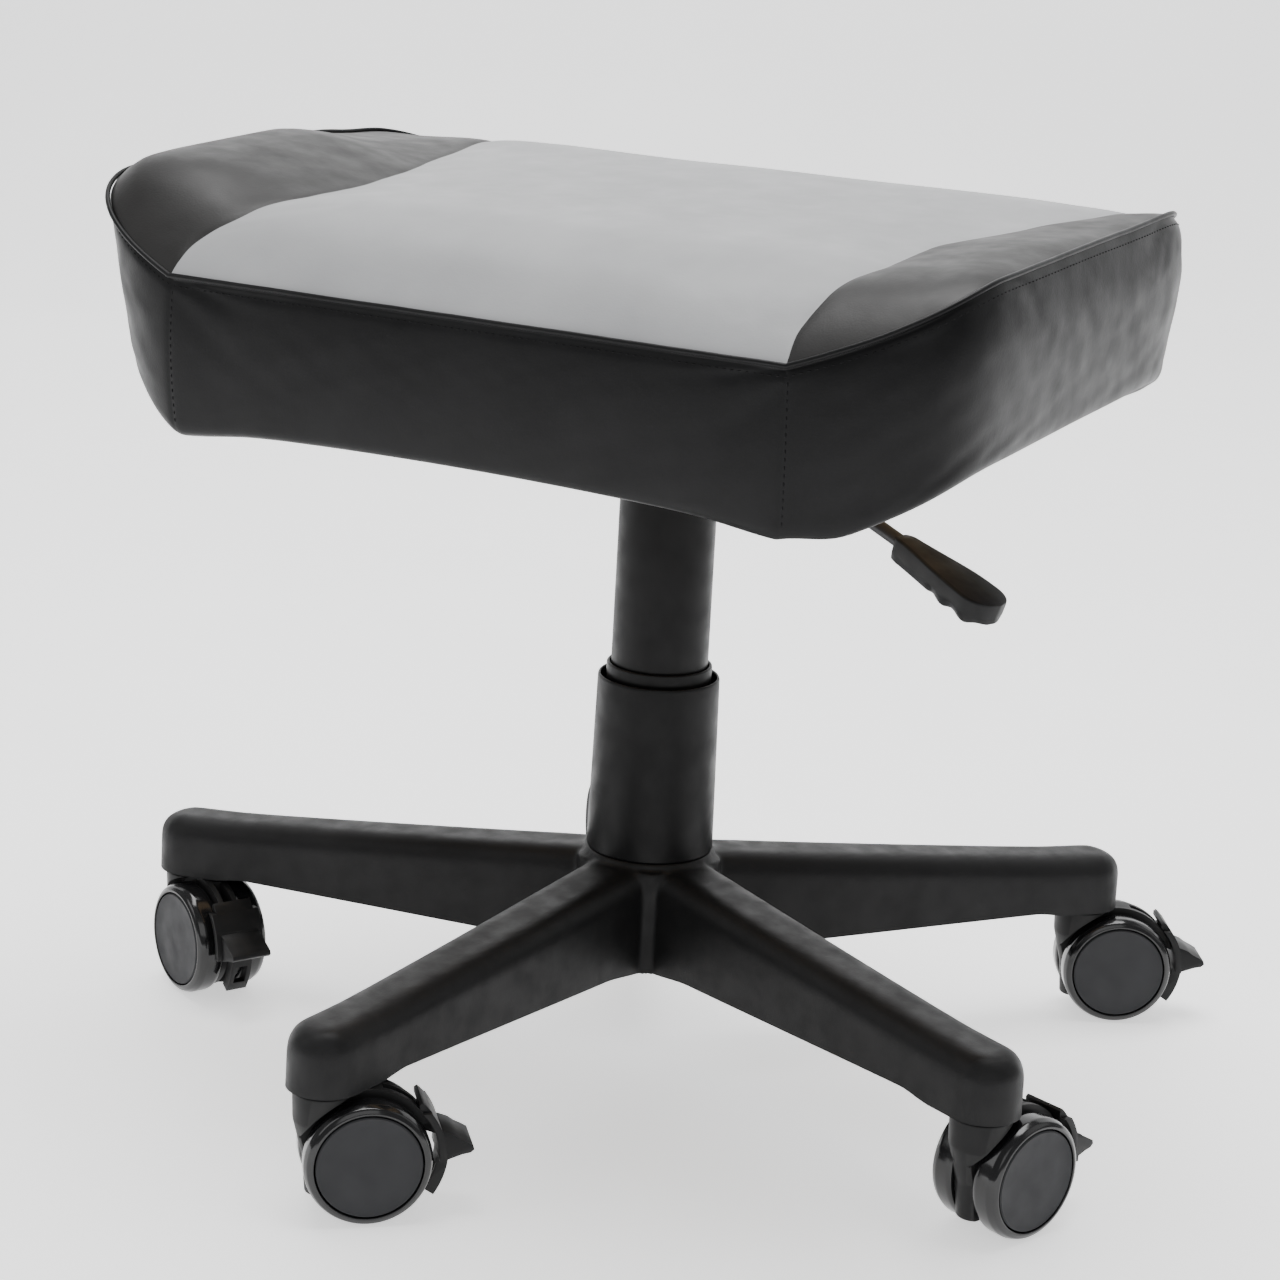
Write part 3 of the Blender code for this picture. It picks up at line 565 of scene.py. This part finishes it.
class Cushion:
    """The sewn cover as one grid: a centre panel, two round side panels, the band and its hem."""

    def __init__(self):
        self.points = []
        self.faces = []
        self.panels = []
        self.pinned = set()
        self.build_top()
        self.build_band()

    def add(self, point):
        self.points.append(point)
        return len(self.points) - 1

    def face(self, corners, panel):
        kept = [c for i, c in enumerate(corners) if c != corners[i - 1]]
        if len(set(kept)) == len(kept) and len(kept) > 2:
            self.faces.append(kept)
            self.panels.append(panel)

    def build_top(self):
        self.rows = depth_rows()
        self.grid = []
        for t in self.rows:
            middle = [self.add(top_point(x, t)) for x in centre_columns(t)]
            left = self.side_columns(-1, t, middle[0])[::-1]
            right = self.side_columns(1, t, middle[-1])
            self.grid.append(left + middle + right)
        self.centre_count = len(middle)
        for lower, upper in zip(self.grid, self.grid[1:]):
            for k in range(len(lower) - 1):
                centre = SIDE_COLUMNS <= k < SIDE_COLUMNS + self.centre_count - 1
                self.face([lower[k], lower[k + 1], upper[k + 1], upper[k]], 0 if centre else 1)
        for row in self.grid:
            self.pinned.update((row[SIDE_COLUMNS], row[SIDE_COLUMNS + self.centre_count - 1]))

    def side_columns(self, side, t, at_seam):
        """Points from a seam out to the piping; they merge with the seam where it meets the piping."""
        start = seam(side, t)
        width = side_reach(t) - start
        if width < 1e-6:
            return [at_seam] * SIDE_COLUMNS
        return [self.add(top_point(side * (start + side_offset(k, width)), t))
                for k in range(1, SIDE_COLUMNS + 1)]

    def build_band(self):
        last = len(self.rows) - 1
        first_col, last_col = SIDE_COLUMNS, SIDE_COLUMNS + self.centre_count - 1
        loop = [(0, k) for k in range(first_col, last_col)]
        loop += [(i, len(self.grid[i]) - 1) for i in range(last)]
        loop += [(last, k) for k in range(last_col, first_col, -1)]
        loop += [(i, 0) for i in range(last, 0, -1)]
        self.edge = [self.grid[i][k] for i, k in loop]
        shares = [self.rows[i] for i, _ in loop]
        self.corners = [0, last_col - first_col, last_col - first_col + last,
                        2 * (last_col - first_col) + last]
        edges = [self.points[v].copy() for v in self.edge]
        lengths = [0.0]
        for a, b in zip(edges, edges[1:] + edges[:1]):
            lengths.append(lengths[-1] + (b - a).length)
        total = lengths[-1]
        self.pinned.update(self.edge)
        self.band = [self.edge]
        profile = band_profile()
        for number, row in enumerate(profile):
            ring = []
            for j, (edge, t) in enumerate(zip(edges, shares)):
                corner = min(min(abs(lengths[j] - lengths[c]), total - abs(lengths[j] - lengths[c]))
                             for c in self.corners)
                ring.append(self.add(band_point(edge, t, edge.x, row, corner)))
            if number >= len(profile) - len(HEM):
                self.pinned.update(ring)
            else:
                self.pinned.update(ring[c] for c in self.corners)
            self.band.append(ring)
        for upper, lower in zip(self.band, self.band[1:]):
            for j in range(len(upper)):
                k = (j + 1) % len(upper)
                self.face([lower[j], lower[k], upper[k], upper[j]], 2)

    def mesh(self, name):
        mesh = bpy.data.meshes.new(name)
        mesh.from_pydata(self.points, [], self.faces)
        mesh.polygons.foreach_set("material_index", self.panels)
        mesh.update()
        return mesh


def inflate(mesh, pinned, cap):
    """Let the cover swell between its sewn lines like cloth over foam, by no more than cap."""
    body = bpy.data.objects.new("inflating", mesh.copy())
    COLLECTION.objects.link(body)
    group = body.vertex_groups.new(name="seams")
    group.add(sorted(pinned), 1.0, "REPLACE")
    cloth = body.modifiers.new("cloth", "CLOTH")
    settings = cloth.settings
    settings.quality = 6
    settings.mass = 0.3
    settings.tension_stiffness = 25
    settings.compression_stiffness = 25
    settings.shear_stiffness = 10
    settings.bending_stiffness = 0.6
    settings.use_pressure = True
    settings.uniform_pressure_force = 4.0
    settings.vertex_group_mass = "seams"
    settings.effector_weights.gravity = 0.0
    cloth.collision_settings.use_collision = False
    scene = bpy.context.scene
    for number in range(1, 21):
        scene.frame_set(number)
    settled = body.evaluated_get(bpy.context.evaluated_depsgraph_get()).to_mesh()
    for vertex, swollen in zip(mesh.vertices, settled.vertices):
        shift = swollen.co - vertex.co
        if shift.length > 1e-9:
            vertex.co += shift * (cap / (cap + shift.length))
    scene.frame_set(1)
    bpy.data.objects.remove(body)


def upholstery():
    cushion = Cushion()
    mesh = cushion.mesh("seat_upholstery")
    inflate(mesh, cushion.pinned, SWELL)
    spots = [v.co.copy() for v in mesh.vertices]
    seat = link("seat_upholstery", mesh, [GREY_LEATHER, DARK_LEATHER, BLACK_LEATHER], SEAT, smooth_angle=180)
    smooth = seat.modifiers.new("smooth", "SUBSURF")
    smooth.levels = 1
    smooth.render_levels = 1
    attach(seat, "seat")
    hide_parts("seat_cover", "seat_foam")
    piping(cushion, spots)
    stitching(cushion, spots)
    return seat


def piping(cushion, spots):
    """A thin welt sewn between the top panels and the band, a little uneven along the round sides."""
    line = []
    for v in cushion.edge:
        point = spots[v].copy()
        outward = Vector((point.x / HALF_LENGTH ** 2, point.y / HALF_DEPTH ** 2, 0)).normalized()
        rise = 0.0006 + 0.0002 * wavy(point.x, point.y, 0.02, 5.0)
        line.append(point + outward * 0.0005 + Vector((0, 0, rise)))
    welt = link("seat_piping", tube_along("seat_piping", line, 0.0013, 12, closed=True), BLACK_LEATHER, SEAT, 180)
    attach(welt, "seat")


def resampled(points, spacing):
    """Points at an even spacing along a line, each with the line's direction there."""
    out = []
    travelled = 0.0
    due = spacing / 2
    for a, b in zip(points, points[1:]):
        length = (b - a).length
        while length > 1e-9 and due <= travelled + length:
            out.append((a.lerp(b, (due - travelled) / length), (b - a).normalized()))
            due += spacing
        travelled += length
    return out


# One stitch from end to end: share of its length, share of its thickness and how deep it lies
THREAD_SHAPE = [(-0.5, 0.45, 0.0005), (-0.3, 0.95, 0.0001), (0.0, 1.0, -0.0001), (0.3, 0.95, 0.0001),
                (0.5, 0.45, 0.0005)]


def stitch_mesh(name, runs, length=0.0026, thick=0.00032):
    """Short threads that dip into the cover at both ends."""
    bm = bmesh.new()
    for at, along, outward in runs:
        side = along.cross(outward).normalized()
        loops = []
        for share, size, sink in THREAD_SHAPE:
            middle = at + along * (share * length) - outward * sink
            loops.append([bm.verts.new(middle + side * (thick * size * math.cos(k * math.pi / 3))
                                       + outward * (thick * size * math.sin(k * math.pi / 3))) for k in range(6)])
        for a, b in zip(loops, loops[1:]):
            for k in range(6):
                j = (k + 1) % 6
                bm.faces.new((a[k], a[j], b[j], b[k]))
        bm.faces.new(loops[0])
        bm.faces.new(loops[-1])
    return mesh_from(bm, name, merge=1e-8)


def stitching(cushion, spots):
    """One row of topstitches under the piping, and one beside each upright corner seam."""
    row = 1 + BAND_DEPTHS.index(STITCH_DEPTH)
    runs = []
    ring = [spots[v] for v in cushion.band[row]]
    for at, along in resampled(ring + ring[:1], STITCH_SPACING):
        outward = along.cross(Vector((0, 0, 1))).normalized()
        runs.append((at, along, outward))
    last = len(cushion.band) - len(HEM)
    for corner in cushion.corners:
        index = (corner + 1) % len(cushion.edge)
        line = [spots[cushion.band[r][index]] for r in range(row + 1, last)]
        for at, along in resampled(line, STITCH_SPACING):
            outward = Vector((at.x / HALF_LENGTH, at.y / HALF_DEPTH, 0)).normalized()
            runs.append((at, along, outward))
    threads = link("seat_topstitching", stitch_mesh("seat_topstitching", runs), THREAD, SEAT, 180)
    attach(threads, "seat")


def staples():
    """Staples that hold the hem to the board, seen from below."""
    half_line = []
    for i in range(120):
        t = math.sin(math.pi * (i / 120 - 0.5))
        y = HALF_DEPTH * t * (1 - STAPLE_INSET / HALF_DEPTH)
        half_line.append(Vector((side_reach(t) * (1 - STAPLE_INSET / HALF_LENGTH), y, -bend(t))))
    line = half_line + [Vector((-p.x, -p.y, p.z)) for p in half_line]
    line.append(line[0])
    bm = bmesh.new()
    for at, along in resampled(line, STAPLE_SPACING):
        wire = [Vector((0, 0, 0.0006)), Vector((0, 0, -0.0003)), Vector((STAPLE_LENGTH, 0, -0.0003)),
                Vector((STAPLE_LENGTH, 0, 0.0006))]
        angle = math.atan2(along.y, along.x)
        turn = Matrix.Translation(at - along * (STAPLE_LENGTH / 2)) @ Matrix.Rotation(angle, 4, "Z")
        piece = tube_along("wire", [turn @ p for p in wire], 0.00045, 6)
        bm.from_mesh(piece)
    mesh = bpy.data.meshes.new("hem_staples")
    bm.to_mesh(mesh)
    bm.free()
    clips = link("hem_staples", mesh, ZINC, SEAT, 60)
    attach(clips, "seat")


# ---------------------------------------------------------------- five-leg base

def leg_ring(r, half_width, bottom, top, corner, draft):
    """One cross-section of a leg: drafted walls and a round-cornered top."""
    points = [(r, -(half_width + draft), bottom)]
    for side, start in ((-1, 180), (1, 90)):
        for i in range(7):
            u, v = polar(corner, start - i * 15)
            points.append((r, side * (half_width - corner) + u, top - corner + v))
    points.append((r, half_width + draft, bottom))
    return points


TRIM = 0.0080  # surplus length of the walls, which trimmed() pushes up again


def underside(r):
    """Height of the lower rim at a distance from the column: level under the hub, then rising outward."""
    if r <= HUB_RADIUS + 0.0005:
        return HUB_BOTTOM
    run = STEM_CIRCLE - TIP_RADIUS - HUB_RADIUS
    line = mix(LEG_ROOT_BOTTOM, RIM_HEIGHT, min(1.0, (r - HUB_RADIUS) / run))
    arch = 0.0030 * step(HUB_RADIUS, 0.070, r) * (1 - step(STEM_CIRCLE - 0.040, STEM_CIRCLE - 0.016, r))
    return line + arch


def leg_mesh(stem_circle, inset=0.0, cavity=False):
    tip = TIP_RADIUS - inset
    root = HUB_RADIUS + 0.004 if cavity else HUB_RADIUS - 0.007
    spans = [root, 0.052, 0.075, 0.110, 0.150, 0.190, 0.225, stem_circle - 0.026, stem_circle - 0.013]
    stations = [(r, mix(0.0205, 0.0187, step(0.04, 0.25, r)) - inset, leg_top(r, stem_circle) - inset) for r in spans]
    for degrees in (0, 15, 30, 42, 54, 64, 73, 80, 86):
        a = math.radians(degrees)
        stations.append((stem_circle + tip * math.sin(a), max(0.0006, tip * math.cos(a)),
                         leg_top(stem_circle, stem_circle) - inset - 0.0125 * (1 - math.cos(a)) ** 1.25))
    rings = []
    for r, half_width, top in stations:
        bottom = 0.030 if cavity else underside(r) - TRIM
        corner = min(0.0125 - inset / 2, half_width * 0.90)
        rings.append(leg_ring(r, half_width, bottom, top, corner, 0.0 if cavity else 0.0006))
    return lofted("leg", rings)


def leg_top(r, stem_circle):
    """Height of a leg's crest: a straight fall from the hub that levels off over the stem."""
    fall = mix(0.1185, 0.0985, min(1.0, max(0.0, (r - HUB_RADIUS) / (stem_circle - HUB_RADIUS))) ** 0.9)
    return fall + 0.0012 * math.exp(-((r - stem_circle) / 0.018) ** 2)


def star_base():
    """Legs, hub and stem bosses fused and softened into one moulding with filleted joins."""
    stems = [centre_of(f"caster_{n}_stem") for n in CASTERS]
    circle = stems[0].xy.length
    low = RIM_HEIGHT + 0.0003
    leg = combined("leg", leg_mesh(circle), [("DIFFERENCE", leg_mesh(circle, 0.0034, cavity=True))])
    hub = turned("hub", [(0.0254, HUB_BOTTOM - TRIM), (HUB_RADIUS, HUB_BOTTOM - TRIM), (HUB_RADIUS, HUB_TOP),
                         (0.0254, HUB_TOP)], 96, radius=0.0012)
    rib = turned("rib", [(0, HUB_BOTTOM - TRIM), (0.0118, HUB_BOTTOM - TRIM), (0.0118, HUB_TOP - 0.0040),
                         (0, HUB_TOP - 0.0040)], 40)
    boss = turned("boss", [(0.0060, low), (0.0105, low), (0.0105, 0.0955), (0.0060, 0.0955)], 32)
    tube_room = turned("tube_room", [(0, 0.030), (0.0252, 0.030), (0.0252, 0.140), (0, 0.140)], 64)
    hollow_rib = combined("rib", moved(rib, Matrix.Translation((0.0290, 0, 0))), [("DIFFERENCE", tube_room)])
    bm = bmesh.new()
    bm.from_mesh(hub)
    for stem in stems:
        turn = Matrix.Rotation(math.atan2(stem.y, stem.x), 4, "Z")
        bm.from_mesh(moved(leg, turn))
        between = turn @ Matrix.Rotation(math.radians(36), 4, "Z")
        bm.from_mesh(moved(hollow_rib, between))
        bm.from_mesh(moved(boss, turn @ Matrix.Translation((circle, 0, 0))))
    rough = bpy.data.meshes.new("star_base_body")
    bm.to_mesh(rough)
    bm.free()

    def fuse(body):
        remesh = body.modifiers.new("fuse", "REMESH")
        remesh.mode = "VOXEL"
        remesh.voxel_size = 0.0013
        soften = body.modifiers.new("soften", "SMOOTH")
        soften.factor = 0.5
        soften.iterations = 8
    mesh = evaluated("star_base_body", rough, fuse)
    trimmed(mesh)
    body = link("star_base_body", mesh, NYLON, smooth_angle=60)
    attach(body, "base")
    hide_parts("star_base")


def trimmed(mesh):
    """Push the walls' surplus length up to the rim, which leaves clean straight lower edges."""
    for vertex in mesh.vertices:
        vertex.co.z = max(vertex.co.z, underside(vertex.co.xy.length))
    bm = bmesh.new()
    bm.from_mesh(mesh)
    bmesh.ops.dissolve_degenerate(bm, dist=0.0001, edges=bm.edges)
    bm.to_mesh(mesh)
    bm.free()


# ---------------------------------------------------------------- column

def column():
    """Three telescopic covers with rolled rims."""
    shapes = {
        "cover_lower": ("base", [(0.0333, HUB_TOP + 0.0003), (0.0349, HUB_TOP + 0.0003), (0.0333, 0.2178),
                                 (0.0329, 0.2190), (0.0319, 0.2190), (0.0317, 0.2178)], 0.0006),
        "cover_middle": ("base", [(0.0271, 0.1232), (0.0285, 0.1232), (0.0281, 0.2128), (0.0288, 0.2150),
                                  (0.0288, 0.2252), (0.0283, 0.2258), (0.0271, 0.2258)], 0.0005),
        "cover_upper": ("seat", [(0.0254, 0.2052), (0.0265, 0.2052), (0.0262, 0.3355), (0.0250, 0.3370),
                                 (0.0143, 0.3370), (0.0143, 0.3354), (0.0254, 0.3354)], 0.0006),
    }
    for node, (body, profile, radius) in shapes.items():
        piece = link(node + "_body", turned(node, profile, 96, radius=radius), COVER)
        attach(piece, body)
        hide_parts(node)


# ---------------------------------------------------------------- casters

def caster_frame(number):
    stem = centre_of(f"caster_{number}_stem")
    axle = centre_of(f"caster_{number}_axle")
    heading = math.atan2(axle.y - stem.y, axle.x - stem.x)
    return Matrix.Translation((stem.x, stem.y, 0)) @ Matrix.Rotation(heading, 4, "Z"), (axle - stem).xy.length


def wheel_shapes(trail):
    at = Matrix.Translation((trail, 0, WHEEL_RADIUS))
    back = at @ Matrix.Rotation(math.pi, 4, "Z")
    tread = turned("wheel", [
        (0.0043, 0.0150), (0.0270, 0.0150), (0.0280, WHEEL_INNER), (WHEEL_RADIUS - 0.0008, WHEEL_INNER),
        (WHEEL_RADIUS, WHEEL_INNER + 0.0025), (WHEEL_RADIUS, WHEEL_OUTER - 0.0045),
        (WHEEL_RADIUS - 0.0014, WHEEL_OUTER - 0.0012), (WHEEL_RADIUS - 0.0036, WHEEL_OUTER),
        (CAP_RADIUS + 0.0005, WHEEL_OUTER), (CAP_RADIUS + 0.0003, 0.0182), (0.0043, 0.0182)], 72, "Y", 0.0008)
    cap = turned("cap", [
        (0, 0.0185), (CAP_RADIUS - 0.0004, 0.0185), (CAP_RADIUS - 0.0004, WHEEL_OUTER - 0.0004),
        (CAP_RADIUS - 0.0011, WHEEL_OUTER + 0.0001), (CAP_RADIUS - 0.0020, WHEEL_OUTER - 0.0002),
        (0.0150, WHEEL_OUTER - 0.0001), (0, WHEEL_OUTER + 0.0002)], 72, "Y")
    return {"wheel_left": moved(tread, at), "wheel_right": moved(tread, back),
            "cap_left": moved(cap, at), "cap_right": moved(cap, back)}


def fork_shape(trail):
    """Round neck that narrows between the wheels and becomes a web over and behind them."""
    at = Matrix.Translation((trail, 0, WHEEL_RADIUS))
    neck = turned("neck", [(0, 0.0105), (0.0088, 0.0110), (0.0104, 0.0300), (0.0154, 0.0500), (0.0160, 0.0652),
                           (0, 0.0652)], 56, radius=0.0010)
    web = turned("web", [(0, -0.0060), (0.0292, -0.0060), (0.0292, 0.0060), (0, 0.0060)], 64, "Y")
    hood = turned("hood", [(0.0200, -0.0060), (0.0345, -0.0060), (0.0345, 0.0060), (0.0200, 0.0060)], 72, "Y")
    hood_room = block("hood_room", (0.0090, -0.0200, -0.0500), (0.0600, 0.0200, 0.0150))
    front_room = block("front_room", (-0.0600, -0.0200, -0.0500), (-0.0190, 0.0200, 0.0100))
    low_room = block("low_room", (-0.0610, -0.0210, -0.0510), (0.0610, 0.0210, -0.0040))
    hood = combined("hood", hood, [("DIFFERENCE", room) for room in (hood_room, front_room, low_room)])
    room = WHEEL_RADIUS + 0.0024
    steps = [("UNION", moved(web, at)), ("UNION", moved(hood, at))]
    for turn in (0, math.pi):
        face = WHEEL_INNER - 0.0010
        side = turned("wheel_room", [(0, face), (room, face), (room, 0.040), (0, 0.040)], 72, "Y")
        steps.append(("DIFFERENCE", moved(side, at @ Matrix.Rotation(turn, 4, "Z"))))
    brake_slot = block("brake_slot", (0.0080, -0.0027, -0.0350), (0.0380, 0.0027, 0.0360))
    stem_hole = turned("stem_hole", [(0, 0.0458), (0.0059, 0.0458), (0.0059, 0.0700), (0, 0.0700)], 32)
    steps += [("DIFFERENCE", moved(brake_slot, at)), ("DIFFERENCE", stem_hole)]
    return combined("housing", neck, steps, bevel=0.0005)


def arc(radius, start, end, count):
    return [polar(radius, mix(start, end, i / (count - 1))) for i in range(count)]


def brake_shape(trail):
    """Foot brake: a curved shoe plate with a round top, a pedal lip and a tongue with a window."""
    at = Matrix.Translation((trail, 0, WHEEL_RADIUS))
    inner, outer = WHEEL_RADIUS + 0.0037, WHEEL_RADIUS + 0.0072
    plate = arc(outer, -3, 44, 14) + [polar(inner + 0.0034, 47), polar(inner + 0.0016, 47.6)] + arc(inner, 45, -3, 14)
    lip = [polar(inner + 0.001, 1), polar(outer - 0.001, -4), (0.0470, 0.0006), (0.0510, 0.0014), (0.0528, 0.0030),
           (0.0522, 0.0050), (0.0495, 0.0066), (0.0455, 0.0086), (0.0425, 0.0108), polar(outer + 0.0004, 19),
           polar(inner + 0.001, 19)]
    tongue = arc(inner, -34, 3, 9) + arc(outer + 0.0020, 3, -34, 9)
    web = arc(inner + 0.001, 12, 44, 6) + [(0.0165, 0.0219), (0.0121, 0.0191), (0.0145, 0.0151)]
    pin = turned("brake_pin", [(0, -0.0052), (0.0015, -0.0052), (0.0015, 0.0052), (0, 0.0052)], 20, "Y")
    window = block("window", (0.025, -0.0036, -0.0175), (0.055, 0.0036, -0.0070))
    steps = [("UNION", moved(extruded("lip", lip, 0.0118), at)),
             ("UNION", moved(extruded("tongue", tongue, 0.0062), at)),
             ("UNION", moved(extruded("web", web, 0.0021), at)),
             ("UNION", moved(pin, at @ Matrix.Translation((0.0155, 0, 0.0185)))),
             ("DIFFERENCE", moved(window, at))]
    for side in (-1, 1):
        corner = block("corner", (0.020, side * 0.0115 - 0.0080 * (side < 0), 0.0235),
                       (0.050, side * 0.0115 + 0.0080 * (side > 0), 0.0400))
        steps.append(("DIFFERENCE", moved(corner, at)))
    return combined("brake", moved(extruded("plate", plate, 0.0145), at), steps, bevel=0.0007)


def casters():
    _, trail = caster_frame(1)
    shapes = {**wheel_shapes(trail), "housing": fork_shape(trail), "brake": brake_shape(trail)}
    looks = {"wheel": (GLOSS, "wheel_gloss"), "cap": (CAP, "cap_grey"), "housing": (MOULDING, "caster_moulding"),
             "brake": (MOULDING, "caster_moulding")}
    riders = {"wheel_left": "wheel_left_set", "cap_left": "wheel_left_set", "wheel_right": "wheel_right_set",
              "cap_right": "wheel_right_set", "housing": "fork", "brake": "brake_pedal"}
    for number in CASTERS:
        place, _ = caster_frame(number)
        for key, mesh in shapes.items():
            mat, slot_name = looks[key.split("_")[0]]
            copy = mesh.copy()
            piece = link(f"caster_{number}_{key}_body", copy, mat, place, smooth_angle=42)
            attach(piece, f"caster_{number}_{riders[key]}")
            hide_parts(f"caster_{number}_{key}")


# ---------------------------------------------------------------- release lever

def lever():
    """Cranked rod and wedge paddle with a flat face, a round end and finger scallops below."""
    turn = Matrix.Rotation(math.radians(LEVER_AZIMUTH), 4, "Z") @ Matrix.Translation((0, 0, LEVER_HEIGHT))
    route = [Vector((-0.003, 0, 0)), Vector((0.020, 0, 0))]
    for i in range(9):
        s = i / 8
        r = mix(LEVER_BEND - 0.008, LEVER_BEND + 0.008, s)
        route.append(Vector((r, 0, -0.0026 * s * s * 2 * 0.7)))
    inside = PADDLE_START + 0.030
    route.append(Vector((inside, 0, -0.0036 - (inside - LEVER_BEND - 0.008) * LEVER_SLOPE)))
    rod = link("lever_rod_body", tube_along("lever_rod_body", route, LEVER_RADIUS, 28), BLACK_STEEL, turn, 60)
    pin_outline = [(0, -0.0104), (0.0025, -0.0104), (0.0025, 0.0104), (0, 0.0104)]
    pin = link("lever_pin_body", turned("lever_pin_body", pin_outline, 28, "Y", 0.0004), ZINC,
               turn @ Matrix.Translation((0.024, 0, 0)))
    for piece, slot_name in ((rod, "black_steel"), (pin, "zinc_steel")):
        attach(piece, "lever")
    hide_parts("lever_rod")
    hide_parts("lever_rod")
    handle = link("lever_handle_body", paddle(), MOULDING, turn, 40)
    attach(handle, "lever")
    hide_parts("lever_handle")


def paddle():
    length = PADDLE_END - PADDLE_START
    rings = []
    count = 40
    for i in range(count + 1):
        share = i / count
        r = PADDLE_START + share * length
        half = mix(0.0062, 0.0138, step(0.0, 0.80, share) ** 0.8)
        tail = max(0.0, (share - 0.80) / 0.20)
        half *= math.sqrt(max(0.004, 1 - tail ** 2.2))
        nose = max(0.0, 1 - share / 0.06)
        half *= 1 - 0.25 * nose ** 2
        centre = -0.0056 - (r - LEVER_BEND - 0.008) * LEVER_SLOPE
        top = 0.0058 - 0.0006 * nose - 0.0008 * step(0.5, 1.0, share)
        scallop = 0.0011 * math.sin(2 * math.pi * (share - 0.42) * 4.5)
        scallop *= step(0.40, 0.50, share) * (1 - step(0.93, 1, share))
        below = -(0.0076 + 0.0010 * share) + scallop + 0.0040 * tail ** 3
        corner = min(0.0016, half * 0.4)
        section = rounded([(-half, top), (half, top), (half * 0.92, mix(top, below, 0.6)), (half * 0.62, below),
                           (-half * 0.62, below), (-half * 0.92, mix(top, below, 0.6))], corner, 3)
        rings.append([(r + v * LEVER_SLOPE * 0.9, u, centre + v) for u, v in section])
    return lofted("lever_handle_body", rings)


# ---------------------------------------------------------------- small parts that keep their CAD shape

def finish_frame_nodes():
    """Give the carried-over nodes their looks."""
    looks = {"seat_plate": BLACK_STEEL, "seat_board": PLY, "column_outer_tube": BLACK_STEEL,
             "column_inner_tube": BLACK_STEEL, "guide_bush": ACETAL, "piston_rod": ZINC, "retaining_clip": ZINC,
             "release_pin": ZINC}
    for number in range(1, 5):
        looks[f"seat_bolt_{number}"] = ZINC
    for number in CASTERS:
        looks[f"caster_{number}_stem"] = ZINC
        looks[f"caster_{number}_axle"] = ZINC
    for node, mat in looks.items():
        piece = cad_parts[node]
        if not piece.material_slots:
            piece.data.materials.append(mat)
        for slot in piece.material_slots:
            slot.material = mat


# ---------------------------------------------------------------- stage

def stage_material():
    surface = Surface("floor_look", 0.55)
    surface.colour(surface.noise(0.25, 3.0), (0.86, 0.86, 0.865), (0.90, 0.90, 0.905))
    surface.shader.inputs["Emission Color"].default_value = (1.0, 1.0, 1.0, 1.0)
    surface.shader.inputs["Emission Strength"].default_value = 0.95
    surface.roughness(surface.noise(0.05, 3.0), 0.50, 0.62)
    return surface.material


def stage():
    """A pale floor that curves up into a wall behind the stool, seen from the camera."""
    back = math.radians(CAMERA_AZIMUTH)
    points = [(-4.0, 0.0), (2.2, 0.0)]
    for i in range(1, 13):
        u, v = polar(1.0, -90 + 90 * i / 12)
        points.append((2.2 + u, 1.0 + v))
    points.append((3.2, 4.5))
    bm = bmesh.new()
    rows = [[bm.verts.new((x, d, z)) for d, z in points] for x in (-5.0, 5.0)]
    for k in range(len(points) - 1):
        bm.faces.new((rows[0][k], rows[1][k], rows[1][k + 1], rows[0][k + 1]))
    floor = link("stage_floor", mesh_from(bm, "stage_floor"), stage_material(),
                 Matrix.Rotation(back, 4, "Z"), 180)


def light(name, place, target, size, watts, colour=(1, 1, 1)):
    lamp = bpy.data.lights.new(name, "AREA")
    lamp.shape = "RECTANGLE"
    lamp.size, lamp.size_y = size
    lamp.energy = watts
    lamp.color = colour
    holder = bpy.data.objects.new(name, lamp)
    COLLECTION.objects.link(holder)
    aim = (Vector(target) - Vector(place)).to_track_quat("-Z", "Y").to_matrix().to_4x4()
    holder.matrix_world = Matrix.Translation(place) @ aim


def lights():
    turn = Matrix.Rotation(math.radians(CAMERA_AZIMUTH), 3, "Z")
    light("top_light", turn @ Vector((0.0, 0.3, 2.6)), (0, 0, 0.2), (1.8, 1.6), 84)
    light("left_light", turn @ Vector((-2.4, -0.8, 1.8)), (0, 0, 0.3), (1.4, 1.8), 16)
    light("right_light", turn @ Vector((2.4, -0.3, 1.7)), (0, 0, 0.3), (1.8, 2.2), 9)
    light("front_light", turn @ Vector((0.2, -2.6, 1.6)), (0, 0, 0.3), (2.0, 1.4), 12)
    world = bpy.data.worlds.new("studio")
    world.use_nodes = True
    world.node_tree.nodes["Background"].inputs["Color"].default_value = (0.95, 0.96, 0.97, 1)
    world.node_tree.nodes["Background"].inputs["Strength"].default_value = 0.32
    bpy.context.scene.world = world


def camera():
    azimuth = math.radians(CAMERA_AZIMUTH)
    back = Vector((math.sin(azimuth), -math.cos(azimuth), 0))
    right = Vector((math.cos(azimuth), math.sin(azimuth), 0))
    place = back * CAMERA_DISTANCE + Vector((0, 0, CAMERA_HEIGHT))
    target = right * TARGET_SIDE + Vector((0, 0, TARGET_HEIGHT))
    ahead = (target - place).normalized()
    level = ahead.cross(Vector((0, 0, 1))).normalized()
    above = level.cross(ahead)
    roll = math.radians(CAMERA_ROLL)
    across = level * math.cos(roll) + above * math.sin(roll)
    upward = above * math.cos(roll) - level * math.sin(roll)
    matrix = Matrix((across, upward, -ahead)).transposed().to_4x4()
    matrix.translation = place
    lens = bpy.data.cameras.new("camera")
    lens.sensor_width = 36.0
    lens.lens = CAMERA_LENS
    viewer = bpy.data.objects.new("camera", lens)
    viewer.matrix_world = matrix
    COLLECTION.objects.link(viewer)
    bpy.context.scene.camera = viewer


upholstery()
staples()
star_base()
column()
casters()
lever()
finish_frame_nodes()
stage()
lights()
camera()
